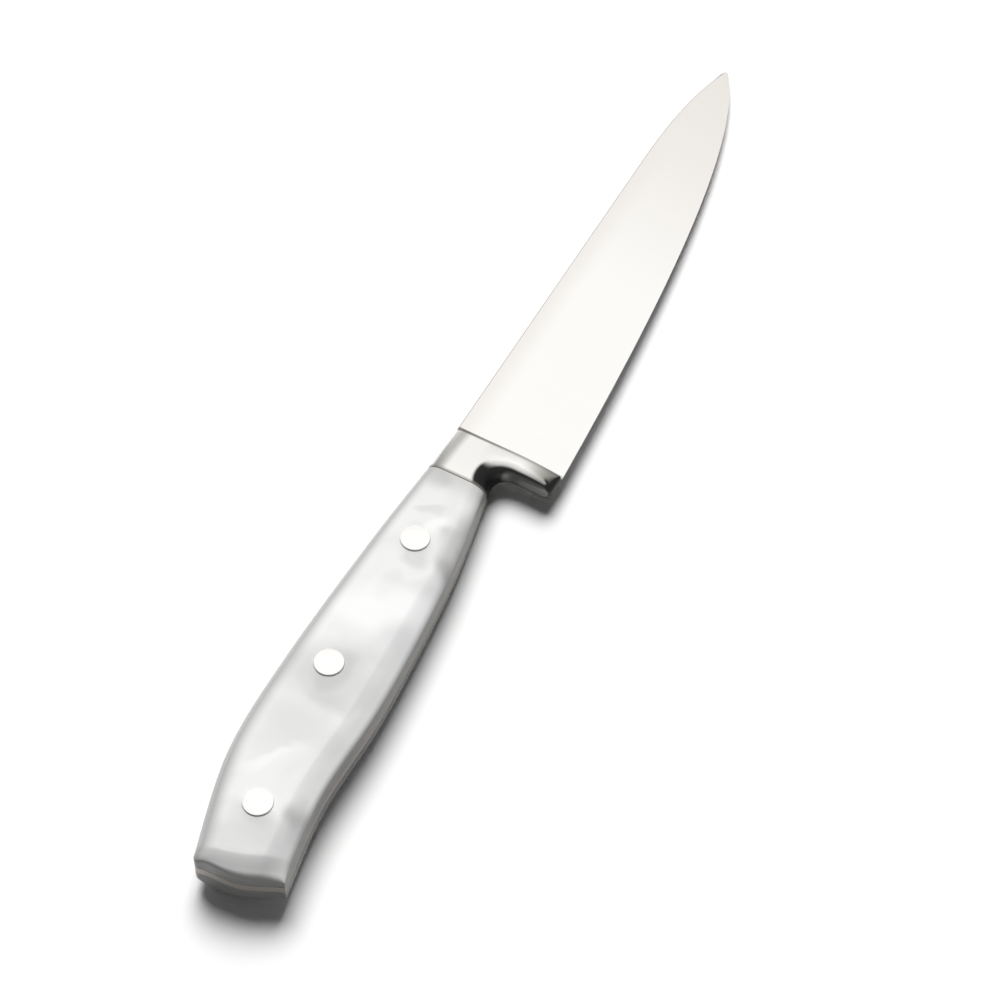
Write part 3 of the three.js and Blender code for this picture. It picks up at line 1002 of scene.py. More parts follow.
@dataclass(frozen=True)
class RivetSteel:
    """Bright turned steel of the rivet heads, with faint rings round each head's centre."""

    colour: Colour = (0.93, 0.925, 0.915, 1.0)
    roughness: float = 0.16
    ring_spacing: float = FULL_TURN * 0.00022
    ring_wobble: float = 0.6
    ring_depth: float = 0.000003
    ring_bump: float = 0.3
    smudge_scale: float = 420.0
    smudge_gloss: float = 0.12

    def material(self, name: str, centre: Vector) -> bpy.types.Material:
        """Material of one rivet.

        Args:
            name: Name of the material.
            centre: Middle of the head, in metres in the row's frame.

        Returns:
            The material.
        """
        material, shader = new_material(name)
        place = shader.mapped(shader.coordinates(), (1, 1, 1), (-centre.x, -centre.y, 0))
        ring_scale = FULL_TURN / (WAVE_RATE * self.ring_spacing)
        rings = shader.node(
            "ShaderNodeTexWave",
            {"wave_type": "RINGS", "rings_direction": "Z"},
            {"Vector": place, "Scale": ring_scale, "Distortion": self.ring_wobble},
            1,
        )
        smudge = shader.noise(place, self.smudge_scale, detail=3.0)
        shader.surface({
            "Base Color": self.colour,
            "Metallic": 1.0,
            "Roughness": self.roughness + smudge.swing(self.smudge_gloss),
            "Normal": shader.bumped(rings, self.ring_bump, self.ring_depth),
        })
        return material


@dataclass(frozen=True)
class Lobe:
    """A patch laid over the pearl: lighter or darker marbling, and for a few of them painted shade.

    Args:
        place: Its middle in plan, in the knife's own frame.
        heading: Heading of its long axis, in degrees from +X towards +Y.
        reach: Its half length and half width.
        tone: Its grey.
        core: Share of its reach that has the full tone.
        strength: How far that tone replaces what is under it.
    """

    place: tuple[float, float]
    heading: float
    reach: tuple[float, float]
    tone: float
    core: float = 0.25
    strength: float = 0.85


@dataclass(frozen=True)
class PearlAcrylic:
    """Glossy white acrylic with mother-of-pearl marbling, and painted shade on steep faces, along the
    back's shoulder, behind the bolster and round each rivet head.
    """

    shade: Colour = (0.70, 0.70, 0.70, 1.0)
    body: Colour = (0.745, 0.745, 0.74, 1.0)
    light: Colour = (0.80, 0.80, 0.79, 1.0)
    # Grey of the painted shade on steep faces, on the back's shoulder and behind the bolster.
    edge: Colour = (0.42, 0.42, 0.415, 1.0)
    back_start: float = 0.06
    back_full: float = 0.68
    front_fade: float = 0.006
    front_share: float = 0.55
    edge_steep: float = 0.2
    edge_flat: float = 0.8
    swirl_scale: float = 34.0
    swirl_stops: tuple[float, ...] = (0.30, 0.40, 0.48, 0.515, 0.60, 0.70)
    vein_scale: float = 90.0
    stretch: tuple[float, float, float] = (0.75, 1.0, 1.0)
    drift_scale: float = 26.0
    drift: float = 0.03
    lobe_drift_scale: float = 75.0
    lobe_drift: float = 0.012
    vein_share: float = 0.1
    roughness: float = 0.1
    vein_gloss: float = 0.04
    refraction: float = 1.49
    specular_level: float = 0.3
    coat_roughness: float = 0.14
    lobes: tuple[Lobe, ...] = (
        Lobe((-83.0, -8.5), 105.0, (16.0, 9.0), 0.68),
        Lobe((-50.0, -10.0), 111.0, (17.0, 9.0), 0.90),
        Lobe((-68.5, -8.5), 108.0, (16.0, 10.5), 0.60),
        Lobe((-73.0, -11.0), 105.0, (9.0, 4.0), 0.56, 0.0, 0.7),
        Lobe((-96.0, -9.5), 123.0, (8.0, 5.0), 0.80),
        Lobe((-92.0, -8.5), 123.0, (7.5, 2.0), 0.86, 0.2),
        Lobe((-88.0, -12.6), 70.0, (3.8, 1.6), 0.80, 0.0, 0.6),
        Lobe((-33.5, -16.8), 10.0, (6.5, 3.8), 0.40, 0.1),
        Lobe((-26.0, -15.5), 5.0, (9.0, 3.6), 0.46, 0.0, 0.7),
        # Painted shade on the back side just behind the bolster.
        Lobe((-15.5, -3.0), 60.0, (4.5, 3.5), 0.48, 0.2, 0.6),
        Lobe((-101.5, -20.5), 5.0, (8.0, 3.8), 0.42, 0.1),
        Lobe((-23.5, -7.5), 110.0, (5.0, 1.8), 0.66),
        Lobe((-26.0, -11.2), 150.0, (5.0, 2.4), 0.88),
        Lobe((-110.0, -13.0), 100.0, (14.0, 8.0), 0.64),
        Lobe((-106.0, -17.0), 100.0, (9.0, 6.0), 0.58, 0.0, 0.6),
        # Painted shadows round the three rivet heads, a little towards the butt.
        Lobe((-32.0, -8.0), 0.0, (5.4, 5.4), 0.5, 0.4, 0.45),
        Lobe((-67.3, -8.0), 0.0, (5.4, 5.4), 0.45, 0.4, 0.5),
        Lobe((-102.4, -12.4), 0.0, (5.4, 5.4), 0.45, 0.4, 0.5),
    )

    def material(self, placement: Placement) -> bpy.types.Material:
        """Material of the scales.

        Args:
            placement: Sets the marbling's places in the frame.

        Returns:
            The material.
        """
        material, shader = new_material("pearl_acrylic")
        place = shader.mapped(shader.coordinates(), self.stretch)
        pushed = shader.drifted(place, self.drift_scale, detail=1.0, reach=self.drift)
        clouds = shader.noise(pushed, self.swirl_scale, detail=1.5, distortion=0.6)
        veins = shader.noise(pushed, self.vein_scale, detail=2.0, distortion=1.2)
        tones = (self.body, self.shade, self.body, self.light, self.body, self.light)
        stops = list(zip(self.swirl_stops, tones))
        swirl = clouds + veins.swing(self.vein_share)
        colour = shader.node("ShaderNodeValToRGB", {"stops": stops}, {0: swirl})
        colour = self.marbled_and_shaded(shader, placement, colour)
        normal = shader.coordinates("Normal")
        # Painted shade in the edge grey: on steep faces, on the back's shoulder and behind the bolster's
        # joint.
        level = shader.flatness(normal).ramp(self.edge_steep, self.edge_flat)
        colour = shader.mixed(level, self.edge, colour)
        on_back = shader.axis(normal, "Y").ramp(self.back_start, self.back_full)
        colour = shader.mixed(on_back, colour, self.edge)
        joint = placement.point(Vector((placement.handle.joint_x, 0.0, 0.0))).x
        along = shader.axis(shader.coordinates(), "X")
        at_front = along.ramp(joint - self.front_fade, joint, 0.0, self.front_share)
        colour = shader.mixed(at_front, colour, self.edge)
        shader.surface({
            "Base Color": colour,
            "Roughness": self.roughness + veins.swing(self.vein_gloss),
            "IOR": self.refraction,
            "Specular IOR Level": self.specular_level,
            "Coat Weight": level,
            "Coat Roughness": self.coat_roughness,
        })
        return material

    def marbled_and_shaded(self, shader: Shader, placement: Placement, colour: Value) -> Value:
        """Lays the lobes over a colour, each with an uneven outline: patches of marbling, and painted
        shadows round the rivet heads and behind the bolster.

        Args:
            shader: The node tree.
            placement: Sets the lobes' places in the frame.
            colour: The colour under the lobes.

        Returns:
            The colour with the lobes.
        """
        place = shader.coordinates()
        pushed = shader.drifted(place, self.lobe_drift_scale, detail=2.0, reach=self.lobe_drift)
        for lobe in self.lobes:
            length, width = lobe.reach
            inside = shader.node("ShaderNodeMapping", {"vector_type": "TEXTURE"}, {
                "Vector": pushed,
                "Location": placement.point(Vector((*lobe.place, 0.0))),
                "Rotation": (0.0, 0.0, math.radians(lobe.heading)),
                "Scale": (length * METRES_PER_MM, width * METRES_PER_MM, 1.0),
            })
            distance = shader.node("ShaderNodeVectorMath", {"operation": "LENGTH"}, {0: inside}, "Value")
            share = distance.ramp(1.0, lobe.core, 0.0, lobe.strength)
            colour = shader.mixed(share, colour, (lobe.tone, lobe.tone, lobe.tone, 1.0))
        return colour


@dataclass
class Forging:
    """Blade, bolster and tang in one piece of steel."""

    handle: Handle
    blade_length: float = 119.2
    blade_height: float = 25.6
    back_thickness: float = 2.2
    tip_thickness: float = 1.0
    back_ease: float = 0.25
    back_straight: float = 86.0
    back_fall_run: float = 22.0
    tip_drop: float = 4.5
    tip_blunt: float = 0.6
    edge_heel_run: float = 60.0
    edge_heel_rise: float = 3.6
    edge_tip_run: float = 15.0
    edge_tip_drop: float = 11.6
    edge_bevel: float = 0.4
    edge_shoulder: float = 0.06
    largest_wedge: float = 0.045
    largest_ease_share: float = 0.125
    largest_bevel_share: float = 0.5
    root_length: float = 2.5
    root_taper: float = 0.3
    root_clearance: float = 0.02
    front_thickness: float = 4.6
    front_round: float = 0.4
    swell: float = 0.65
    back_shoulder: float = 1.7
    notch_rise: float = 0.6
    notch_radius: float = 3.6
    notch_shoulder: float = 4.2
    chin_length: float = 5.3
    chin_relief: float = 0.2
    chin_thinning: float = 2.4
    chin_shoulder: float = 1.6
    chin_wall: float = 1.0
    chin_corner: float = 1.6
    chin_corner_shoulder: float = 4.0
    heel_shoulder: float = 0.4
    tang_thickness: float = 2.2
    tang_inset: float = 0.03
    tang_root_length: float = 4.0
    tang_root_taper: float = 0.4
    blade_columns: int = 80
    tip_crowding: float = 1.5
    ease_rows: int = 4
    side_rows: int = 12
    bevel_rows: int = 3
    roof_steps: int = 16
    notch_steps: int = 24
    corner_steps: int = 12
    foot_steps: int = 10
    front_steps: int = 6
    collar_shoulder_rows: int = 12
    collar_land_rows: int = 10
    chin_rows: int = 24
    tang_columns: int = 96
    tang_rows: int = 28
    butt_crowding: float = 1.3
    curve_steps: int = 96
    mark_steps: int = 768

    @property
    def tip_x(self) -> float:
        """Where the blunt tip ends."""
        return self.blade_length - self.tip_blunt

    @property
    def notch_top(self) -> float:
        """Height of the notch's roof."""
        return self.notch_rise - self.handle.belly_at_front

    @property
    def heel_y(self) -> float:
        """Height of the chin's foot."""
        return self.chin_relief - self.blade_height

    def blade(self) -> BMesh:
        """Wedge of the blade, with its eased back, its edge bevel and the root in the bolster.

        Returns:
            The closed solid.
        """
        tip = Vector((self.blade_length, -self.tip_drop))
        start = Vector((self.back_straight, 0.0))
        back = [Vector((0.0, 0.0))]
        back += quadratic(start, start + Vector((self.back_fall_run, 0.0)), tip, self.curve_steps)
        edge = cubic(
            Vector((0.0, -self.blade_height)),
            Vector((self.edge_heel_run, self.edge_heel_rise - self.blade_height)),
            Vector((self.blade_length - self.edge_tip_run, -self.tip_drop - self.edge_tip_drop)),
            tip,
            self.curve_steps,
        )
        rows = self.ease_rows + self.side_rows + self.bevel_rows

        def place(column: int, row: int) -> Vector:
            """Point of the blade's right side.

            Args:
                column: Number of the column, from the root's end.
                row: Number of the row, from the back.

            Returns:
                The point.
            """
            share = 1 - (1 - max(column - 1, 0) / self.blade_columns) ** self.tip_crowding
            x = lerp(self.root_clearance, self.tip_x, share)
            high, low = height_at(back, x), height_at(edge, x)
            shoulder = self.edge_shoulder / 2
            half = lerp(self.back_thickness, self.tip_thickness, x / self.blade_length) / 2
            half = min(half, shoulder + (high - low) * self.largest_wedge)
            ease = min(self.back_ease, (high - low) * self.largest_ease_share)
            bevel = min(self.edge_bevel, (high - low) * self.largest_bevel_share)
            if row <= self.ease_rows:
                turn = QUARTER_TURN * row / self.ease_rows
                point = Vector((x, high - ease * (1 - math.cos(turn)), half - ease * (1 - math.sin(turn))))
            elif row <= self.ease_rows + self.side_rows:
                down = (row - self.ease_rows) / self.side_rows
                point = Vector((x, lerp(high - ease, low + bevel, down), lerp(half, shoulder, down)))
            else:
                down = (row - self.ease_rows - self.side_rows) / self.bevel_rows
                point = Vector((x, lerp(low + bevel, low, down), lerp(shoulder, 0.0, down)))
            if column == 0:
                point.x = -self.root_length
                point.y = lerp(point.y, -self.blade_height / 2, self.root_taper)
            return point

        return Shaper.mirrored(Shaper.relief(self.blade_columns + 1, rows, place))

    def bolster_half(self, place: Vector) -> float:
        """Half thickness of the bolster, before its shoulders are rounded.

        Args:
            place: The place in plan.

        Returns:
            The half thickness there.
        """
        along = min(place.x, -self.front_round) / self.handle.joint_x
        fall = lerp(1 - along, (1 - along) ** 2, self.swell)
        down = max(0.0, (self.notch_top - place.y) / (self.notch_top - self.heel_y))
        face = lerp(self.handle.front_thickness, self.front_thickness, fall)
        return (face - down**2 * self.chin_thinning) / 2

    @staticmethod
    def shoulder_rise(distance: float, width: float) -> float:
        """Share of its full height that a rounded shoulder has at a distance from its foot."""
        return math.sqrt(1 - max(0.0, 1 - distance / width) ** 2)

    def bolster_lows(self) -> list[list[Vector]]:
        """Draws the bolster's lower outline.

        Returns:
            Its stretches: roof, notch, wall, corner and foot.
        """
        joint, top, heel = self.handle.joint_x, self.notch_top, self.heel_y
        notch_end = -self.chin_length - self.notch_radius
        middle = (joint + notch_end) / 2
        start = Vector((joint, -self.handle.belly_at_front))
        end = Vector((notch_end, top))
        roof = cubic(start, Vector((middle, start.y)), Vector((middle, top)), end, self.roof_steps)
        wall_top = Vector((-self.chin_length, top - self.notch_radius))
        notch = quadratic(roof[-1], Vector((-self.chin_length, top)), wall_top, self.notch_steps)
        wall_low = Vector((-self.chin_length, heel + self.chin_corner))
        foot_start = Vector((self.chin_corner - self.chin_length, heel))
        corner = quadratic(wall_low, Vector((-self.chin_length, heel)), foot_start, self.corner_steps)
        foot_end = Vector((-self.front_round, heel))
        foot = [foot_start.lerp(foot_end, i / self.foot_steps) for i in range(self.foot_steps + 1)]
        return [roof, notch, [wall_top, wall_low], corner, foot]

    def bolster(self) -> BMesh:
        """Bolster with its chin and finger notch, from a sheet of columns square to the knife's length.

        Returns:
            The closed solid.
        """
        handle = self.handle
        stretches = self.bolster_lows()
        outline = PlanPath(sum((stretch[1:] for stretch in stretches), [stretches[0][0]]))
        ends = [0.0]
        for stretch in stretches:
            ends.append(ends[-1] + PlanPath(stretch).length)
        joint_foot = handle.half(handle.joint_x) - handle.shoulder_depth(handle.joint_x)
        feet = [joint_foot] + [self.chin_wall / 2] * len(stretches)
        widths = [
            handle.shoulder_width,
            self.notch_shoulder,
            self.notch_shoulder,
            self.chin_shoulder,
            self.chin_corner_shoulder,
            self.heel_shoulder,
        ]
        marks = outline.spaced(self.mark_steps)
        finder = KDTree(len(marks))
        for i, mark in enumerate(marks):
            finder.insert(mark.to_3d(), i)
        finder.balance()

        def along(values: Sequence[float], share: float) -> float:
            """Value between the values at the ends of the outline's stretches.

            Args:
                values: The values at the ends.
                share: Share of the outline's length.

            Returns:
                The value there.
            """
            reach = share * ends[-1]
            following = next((i for i in range(1, len(ends)) if ends[i] >= reach), len(ends) - 1)
            passed = (reach - ends[following - 1]) / (ends[following] - ends[following - 1])
            return lerp(values[following - 1], values[following], min(1.0, passed))

        def height(place: Vector, forward: float) -> float:
            """Height of the face, rounded off towards the lower outline and the back.

            Args:
                place: The place in plan.
                forward: Share of the way from the handle to the blade.

            Returns:
                The height there.
            """
            _, index, gap = finder.find(place.to_3d())
            share = index / (len(marks) - 1)
            face = self.bolster_half(place)
            rise = self.shoulder_rise(gap, along(widths, share))
            width = lerp(handle.shoulder_width, self.back_shoulder, forward)
            depth = lerp(handle.shoulder_depth(handle.joint_x), self.back_shoulder, forward)
            back_face = face - depth * (1 - self.shoulder_rise(-place.y, width))
            return min(lerp(along(feet, share), face, rise), back_face)

        roof, notch, _, corner, foot = stretches
        lows = roof + notch[1:-1] + corner + foot[1:]
        last = len(lows) - 1
        collar_rows = 2 * self.collar_shoulder_rows + self.collar_land_rows

        def collar(row: int, span: float, forward: float) -> float:
            """Distance of a row of the collar from the back.

            Args:
                row: Number of the row.
                span: Width of the collar.
                forward: Share of the way from the handle to the blade.

            Returns:
                The distance.
            """
            back = lerp(handle.shoulder_width, self.back_shoulder, forward)
            if row <= self.collar_shoulder_rows:
                return back * (1 - math.cos(QUARTER_TURN * row / self.collar_shoulder_rows))
            if row >= collar_rows - self.collar_shoulder_rows:
                turn = QUARTER_TURN * (collar_rows - row) / self.collar_shoulder_rows
                return span - self.notch_shoulder * (1 - math.cos(turn))
            passed = (row - self.collar_shoulder_rows) / self.collar_land_rows
            return lerp(back, span - self.notch_shoulder, passed)

        def place(column: int, row: int) -> Vector:
            """Point of the bolster's right face.

            Args:
                column: Number of the column, from the joint.
                row: Number of the row, from the back.

            Returns:
                The point.
            """
            low = lows[min(column, last)]
            forward = 1 - low.x / handle.joint_x
            level = max(low.y, self.notch_top - self.notch_radius)
            if row <= collar_rows:
                spot = Vector((low.x, -collar(row, -level, forward)))
            else:
                turn = QUARTER_TURN * (row - collar_rows) / self.chin_rows
                spot = Vector((low.x, lerp(level, low.y, math.sin(turn))))
            round_turn = QUARTER_TURN * max(0, column - last) / self.front_steps
            drop = self.front_round * (1 - math.cos(round_turn))
            x = low.x + self.front_round * math.sin(round_turn)
            return Vector((x, spot.y, height(spot, forward) - drop))

        return Shaper.mirrored(Shaper.relief(last + self.front_steps, collar_rows + self.chin_rows, place))

    def tang(self) -> BMesh:
        """Flat plate of the handle's outline, a hair smaller, with a root that narrows into the bolster.

        Returns:
            The closed solid.
        """
        handle = self.handle

        def place(column: int, row: int) -> Vector:
            """Point of the tang's right face.

            Args:
                column: Number of the column, from the butt to the root's end.
                row: Number of the row, from the back.

            Returns:
                The point.
            """
            passed = min(1.0, column / self.tang_columns)
            share = lerp(1.0, self.root_clearance / handle.belly.length, passed**self.butt_crowding)
            span = (handle.across(share, 0.0) - handle.across(share, 1.0)).length
            inset = self.tang_inset / span
            spot = handle.across(share, lerp(inset, 1 - inset, row / self.tang_rows))
            if column > self.tang_columns:
                spot.x += self.tang_root_length
                spot.y = lerp(spot.y, -handle.belly_at_front / 2, self.tang_root_taper)
            return Vector((spot.x, spot.y, self.tang_thickness / 2))

        return Shaper.mirrored(Shaper.relief(self.tang_columns + 1, self.tang_rows, place))

    def build(self, bores: Sequence[BMesh]) -> BMesh:
        """The whole forging.

        Args:
            bores: Cutters for the rivets' holes in its tang.

        Returns:
            The closed solid.
        """
        bored = Shaper.combined(self.tang(), bores, "DIFFERENCE")
        return Shaper.combined(self.bolster(), [self.blade(), bored], "UNION")


@dataclass
class Rivet:
    """A two-part rivet: a pin half from the right that is pressed into a tube half from the left.

    Args:
        handle: The handle that it goes through.
        station: Which of the rivets it is.
        inset: Its distance behind the joint of bolster and scales.
        drop: Its distance below the line of the blade's back.
    """

    handle: Handle
    station: Station
    inset: float
    drop: float
    head_diameter: float = 6.35
    head_depth: float = 2.0
    proud: float = 0.4
    rim: float = 0.1
    head_gap: float = 0.02
    tube_diameter: float = 4.2
    pin_diameter: float = 3.0
    clearance: float = 0.1
    end_gap: float = 0.4
    round_steps: int = 72
    rim_steps: int = 6

    @property
    def place(self) -> Vector:
        """Middle of the rivet in plan."""
        return Vector((self.handle.joint_x - self.inset, -self.drop))

    @property
    def face(self) -> float:
        """Height of the head's face over the middle plane."""
        return self.handle.half(self.place.x) + self.proud

    @property
    def seat(self) -> float:
        """Height of the counterbore's floor over the middle plane."""
        return self.face - self.head_depth

    def head(self) -> list[tuple[float, float]]:
        """Outside of the head.

        Returns:
            (radius, z) pairs, from its underside round the eased rim to the middle of its face.
        """
        radius = self.head_diameter / 2
        profile = [(radius, self.seat + self.clearance)]
        for i in range(self.rim_steps + 1):
            turn = QUARTER_TURN * i / self.rim_steps
            ease = self.rim * (1 - math.cos(turn))
            profile.append((radius - ease, self.face - self.rim * (1 - math.sin(turn))))
        return [*profile, (0.0, self.face)]

    def set_in(self, mesh: BMesh, side: Side) -> BMesh:
        """Sets a turned solid at the rivet's place, its faces along the scale's slope.

        Args:
            mesh: The solid, which is changed.
            side: The side that its head is on.

        Returns:
            The same solid.
        """
        shear = Matrix.Identity(4)
        shear[2][0] = side.value * self.handle.slope
        matrix = Matrix.Translation(self.place.to_3d()) @ shear @ side.flip
        bmesh.ops.transform(mesh, matrix=matrix, verts=mesh.verts[:])
        bmesh.ops.recalc_face_normals(mesh, faces=mesh.faces[:])
        return mesh

    def pin(self) -> BMesh:
        """Right half: a head on a solid pin.

        Returns:
            The closed solid.
        """
        radius, end = self.pin_diameter / 2, self.end_gap - self.seat
        stem = [(0.0, end), (radius, end), (radius, self.seat + self.clearance)]
        return self.set_in(Shaper.turned([*stem, *self.head()], self.round_steps), Side.RIGHT)

    def tube(self) -> BMesh:
        """Left half: a head on a tube through both scales and the tang.

        Returns:
            The closed solid.
        """
        bore, radius = self.pin_diameter / 2 + self.clearance, self.tube_diameter / 2
        end = self.end_gap - self.seat
        stem = [(0.0, self.seat), (bore, self.seat), (bore, end), (radius, end)]
        stem.append((radius, self.seat + self.clearance))
        return self.set_in(Shaper.turned([*stem, *self.head()], self.round_steps), Side.LEFT)

    def tang_bore(self) -> BMesh:
        """Cutter for the hole in the tang.

        Returns:
            The cutter.
        """
        radius, reach = self.tube_diameter / 2 + self.clearance, self.seat
        profile = [(0.0, -reach), (radius, -reach), (radius, reach), (0.0, reach)]
        return self.set_in(Shaper.turned(profile, self.round_steps), Side.RIGHT)

    def scale_bore(self, side: Side) -> BMesh:
        """Cutter for the hole and the counterbore in a scale.

        Args:
            side: The side that the scale is on.

        Returns:
            The cutter.
        """
        radius = self.tube_diameter / 2 + self.clearance
        wide = self.head_diameter / 2 + self.head_gap
        top = self.face + self.head_depth
        hole = [(0.0, 0.0), (radius, 0.0), (radius, self.seat)]
        profile = [*hole, (wide, self.seat), (wide, top), (0.0, top)]
        return self.set_in(Shaper.turned(profile, self.round_steps), side)


@dataclass
class Scale:
    """One of the two handle scales, rounded along its back, belly and butt."""

    handle: Handle
    side: Side
    tang_thickness: float
    bond_line: float = 0.1

    def build(self, bores: Sequence[BMesh]) -> BMesh:
        """The scale.

        Args:
            bores: Cutters for the rivets' holes and counterbores.

        Returns:
            The closed solid.
        """
        handle = self.handle

        def place(column: int, row: int) -> Vector:
            """Point of the outer face."""
            return handle.face(column, row, self.bond_line)

        sheet = Shaper.relief(handle.columns, handle.rows, place)
        solid = Shaper.filled(sheet, self.tang_thickness / 2 + self.bond_line)
        bmesh.ops.transform(solid, matrix=self.side.flip, verts=solid.verts[:])
        return Shaper.combined(Shaper.tidy(solid), bores, "DIFFERENCE")


@dataclass
class Workshop:
    """Sets finished meshes in the frame as pieces that stand for the CAD's nodes."""

    placement: Placement
    smooth_angle: float = math.radians(28)

    def deliver(self, node: str, mesh: BMesh, material: bpy.types.Material, slot: Slot) -> bpy.types.Object:
        """Lays a mesh in the frame as a piece.

        Args:
            node: The CAD node that it stands for.
            mesh: The mesh, in the knife's own frame.
            material: Its finish.
            slot: The record's slot of that finish; not used.

        Returns:
            The piece.
        """
        bmesh.ops.transform(mesh, matrix=self.placement.matrix, verts=mesh.verts[:])
        open_edges = sum(not edge.is_manifold for edge in mesh.edges)
        piece = Shaper.to_object(mesh, f"{node}_fine")
        piece.data.materials.clear()
        piece.data.materials.append(material)
        piece.data.shade_smooth()
        piece.data.set_sharp_from_angle(angle=self.smooth_angle)
        normals = piece.modifiers.new("face_weights", "WEIGHTED_NORMAL")
        normals.keep_sharp = True
        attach(piece, "root")
        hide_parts(node)
        LOG.info("%s: %d faces, %d open edges", piece.name, len(piece.data.polygons), open_edges)
        return piece


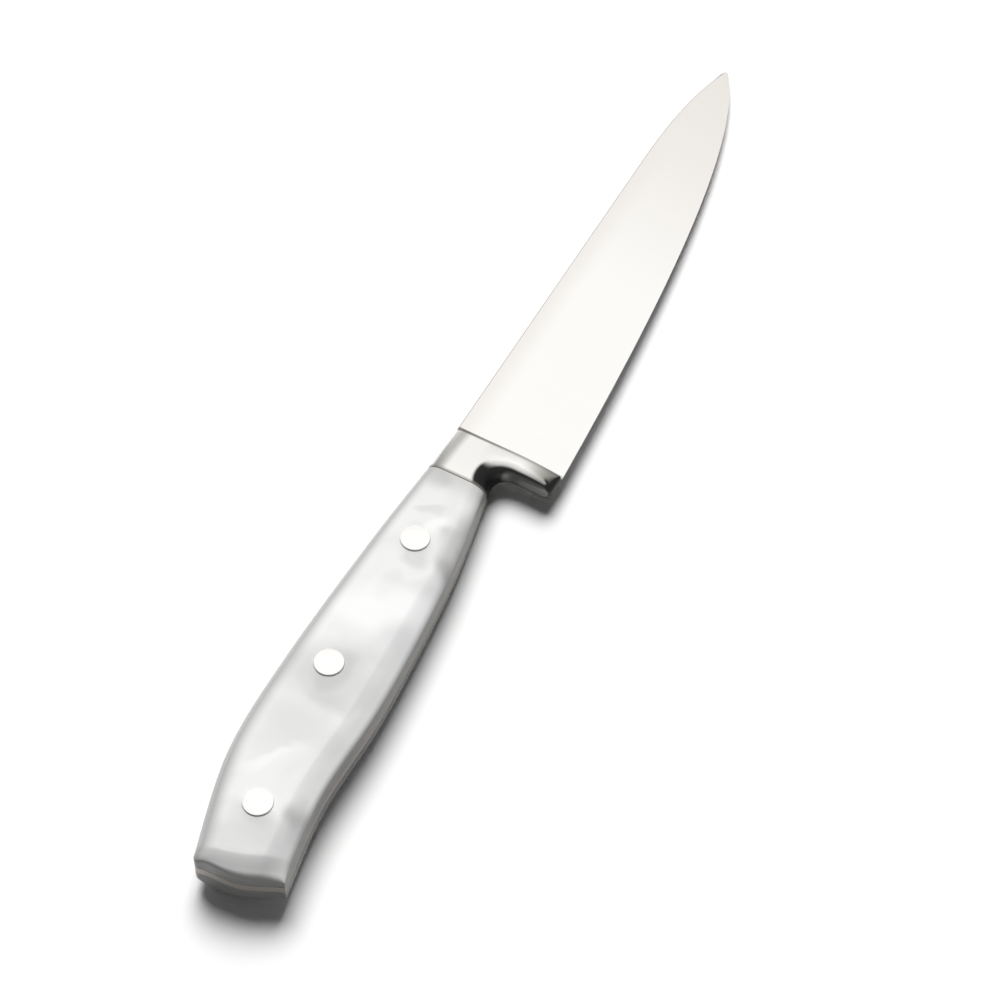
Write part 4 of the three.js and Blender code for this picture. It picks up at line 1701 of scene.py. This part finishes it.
@dataclass
class Studio:
    """Floor, soft light and camera. Headings turn from +X towards +Y, and all angles are in degrees."""

    placement: Placement
    floor_size: float = 4.0
    floor_white: Colour = (0.99, 0.99, 0.99, 1.0)
    floor_grey: Colour = (0.42, 0.42, 0.42, 1.0)
    room_dim: Colour = (0.068, 0.068, 0.068, 1.0)
    room_low: Colour = (0.40, 0.40, 0.40, 1.0)
    room_high: Colour = (0.80, 0.80, 0.80, 1.0)
    panel_light: Colour = (1.14, 1.13, 1.11, 1.0)
    panel_low_light: Colour = (1.0, 0.985, 0.965, 1.0)
    panel_dim_end: float = 43.0
    panel_bright_start: float = 53.0
    panel_top: float = 67.0
    panel_right_edge: float = 4.0
    panel_right_fade: float = 16.0
    panel_left_start: float = 40.0
    panel_left_end: float = 60.0
    panel_foot: float = 10.0
    panel_edge: float = 4.0
    key_heading: float = 30.0
    key_elevation: float = 57.5
    key_spread: float = 36.0
    key_share: float = 0.87
    lens: float = 126.0
    sensor: float = 36.0
    camera_elevation: float = 56.0
    camera_heading: float = 29.0
    camera_distance: float = 742.4
    aim: tuple[float, float] = (-11.0, -16.59)

    def floor(self) -> None:
        """Plain floor, white to the camera and in reflections, and grey in the light that it sends up."""
        grid = bmesh.new()
        bmesh.ops.create_grid(grid, x_segments=1, y_segments=1, size=self.floor_size / 2)
        floor = Shaper.to_object(grid, "floor")
        material, shader = new_material("floor_white")
        colour = shader.mixed(shader.in_view(), self.floor_grey, self.floor_white)
        shader.surface({"Base Color": colour, "Roughness": 1.0, "Specular IOR Level": 0.0})
        floor.data.materials.append(material)

    def room(self) -> None:
        """Room with one large bright panel, pale to the camera and in reflections, and dim as a light."""
        world = bpy.data.worlds.new("studio")
        world.use_nodes = True
        shader = Shader(world.node_tree)
        direction = shader.coordinates("Generated")
        rise = shader.axis(direction, "Z")
        across, along = shader.axis(direction, "Y"), shader.axis(direction, "X")
        heading = shader.node("ShaderNodeMath", {"operation": "ARCTAN2"}, {0: across, 1: along})
        foot, top = math.radians(self.panel_foot), math.radians(self.panel_top)
        edge = math.radians(self.panel_edge)
        right, right_fade = math.radians(self.panel_right_edge), math.radians(self.panel_right_fade)
        left_start, left_end = math.radians(self.panel_left_start), math.radians(self.panel_left_end)
        dim, bright = math.radians(self.panel_dim_end), math.radians(self.panel_bright_start)
        upright = rise.band(0.0, math.sin(foot), math.sin(top), math.sin(top + edge))
        on_panel = upright * heading.band(right - right_fade, right, left_start, left_end)
        high_up = rise.ramp(math.sin(dim), math.sin(bright))
        panel = shader.mixed(high_up, self.panel_low_light, self.panel_light)
        pale = shader.mixed(rise.ramp(0.0, 1.0), self.room_low, self.room_high)
        room = shader.mixed(shader.in_view(), self.room_dim, pale)
        colour = shader.mixed(on_panel, room, panel)
        glow = shader.node("ShaderNodeBackground", {}, {"Color": colour, "Strength": 1.0})
        shader.node("ShaderNodeOutputWorld", {}, {"Surface": glow})
        bpy.context.scene.world = world

    def key(self) -> None:
        """Soft key light from above the knife's back."""
        lamp = bpy.data.lights.new("key", "SUN")
        lamp.angle = math.radians(self.key_spread)
        lamp.energy = math.pi * self.key_share / math.sin(math.radians(self.key_elevation))
        key = bpy.data.objects.new("key", lamp)
        bpy.context.scene.collection.objects.link(key)
        key.rotation_euler = (0.0, math.radians(90 - self.key_elevation), math.radians(self.key_heading))
        key.visible_glossy = False

    def camera(self) -> None:
        """Camera at the photograph's viewing angle."""
        heading, elevation = math.radians(self.camera_heading), math.radians(self.camera_elevation)
        flat = math.cos(elevation)
        forward = Vector((flat * math.cos(heading), flat * math.sin(heading), -math.sin(elevation)))
        right = Vector((math.sin(heading), -math.cos(heading), 0.0))
        up = right.cross(forward)
        stand = Vector((*self.aim, 0.0)) - self.camera_distance * forward
        turn = Matrix((right, up, -forward)).transposed()
        data = bpy.data.cameras.new("camera")
        data.lens, data.sensor_width = self.lens, self.sensor
        camera = bpy.data.objects.new("camera", data)
        bpy.context.scene.collection.objects.link(camera)
        facing = (self.placement.turn.to_3x3() @ turn).to_4x4()
        camera.matrix_world = Matrix.Translation(self.placement.point(stand)) @ facing
        bpy.context.scene.camera = camera

    def build(self) -> None:
        """Sets up the whole studio."""
        self.floor()
        self.room()
        self.key()
        self.camera()
        bpy.context.scene.view_settings.view_transform = "Standard"


def main() -> None:
    """Builds the knife, piece by piece, and the studio round it."""
    logging.basicConfig(level=logging.INFO, format="%(name)s %(message)s")
    handle = Handle()
    forging = Forging(handle)
    rivets = [
        Rivet(handle, Station.FRONT, inset=18.3, drop=7.4),
        Rivet(handle, Station.MIDDLE, inset=53.6, drop=7.4),
        Rivet(handle, Station.BUTT, inset=88.7, drop=11.8),
    ]
    placement = Placement(handle, forging.tip_x, rivets[0].drop)
    workshop = Workshop(placement)

    front = placement.point(Vector((0.0, 0.0, 0.0)))
    joint = placement.point(Vector((handle.joint_x, 0.0, 0.0)))
    heel = placement.point(Vector((0.0, -forging.blade_height, 0.0)))
    steel = ForgedSteel(front.x, joint.x, front.y, heel.y).material()
    workshop.deliver("blade", forging.build([rivet.tang_bore() for rivet in rivets]), steel, Slot.STEEL)

    pearl = PearlAcrylic().material(placement)
    for side in Side:
        scale = Scale(handle, side, forging.tang_thickness)
        mesh = scale.build([rivet.scale_bore(side) for rivet in rivets])
        workshop.deliver(f"scale_{side.name.lower()}", mesh, pearl, Slot.PEARL)

    for rivet in rivets:
        name = rivet.station.value
        centre = placement.point(rivet.place.to_3d())
        bright = RivetSteel().material(f"rivet_steel_{name}", centre)
        workshop.deliver(f"rivet_pin_{name}", rivet.pin(), bright, Slot.RIVET)
        workshop.deliver(f"rivet_tube_{name}", rivet.tube(), bright, Slot.RIVET)

    Studio(placement).build()


if __name__ == "__main__":
    main()
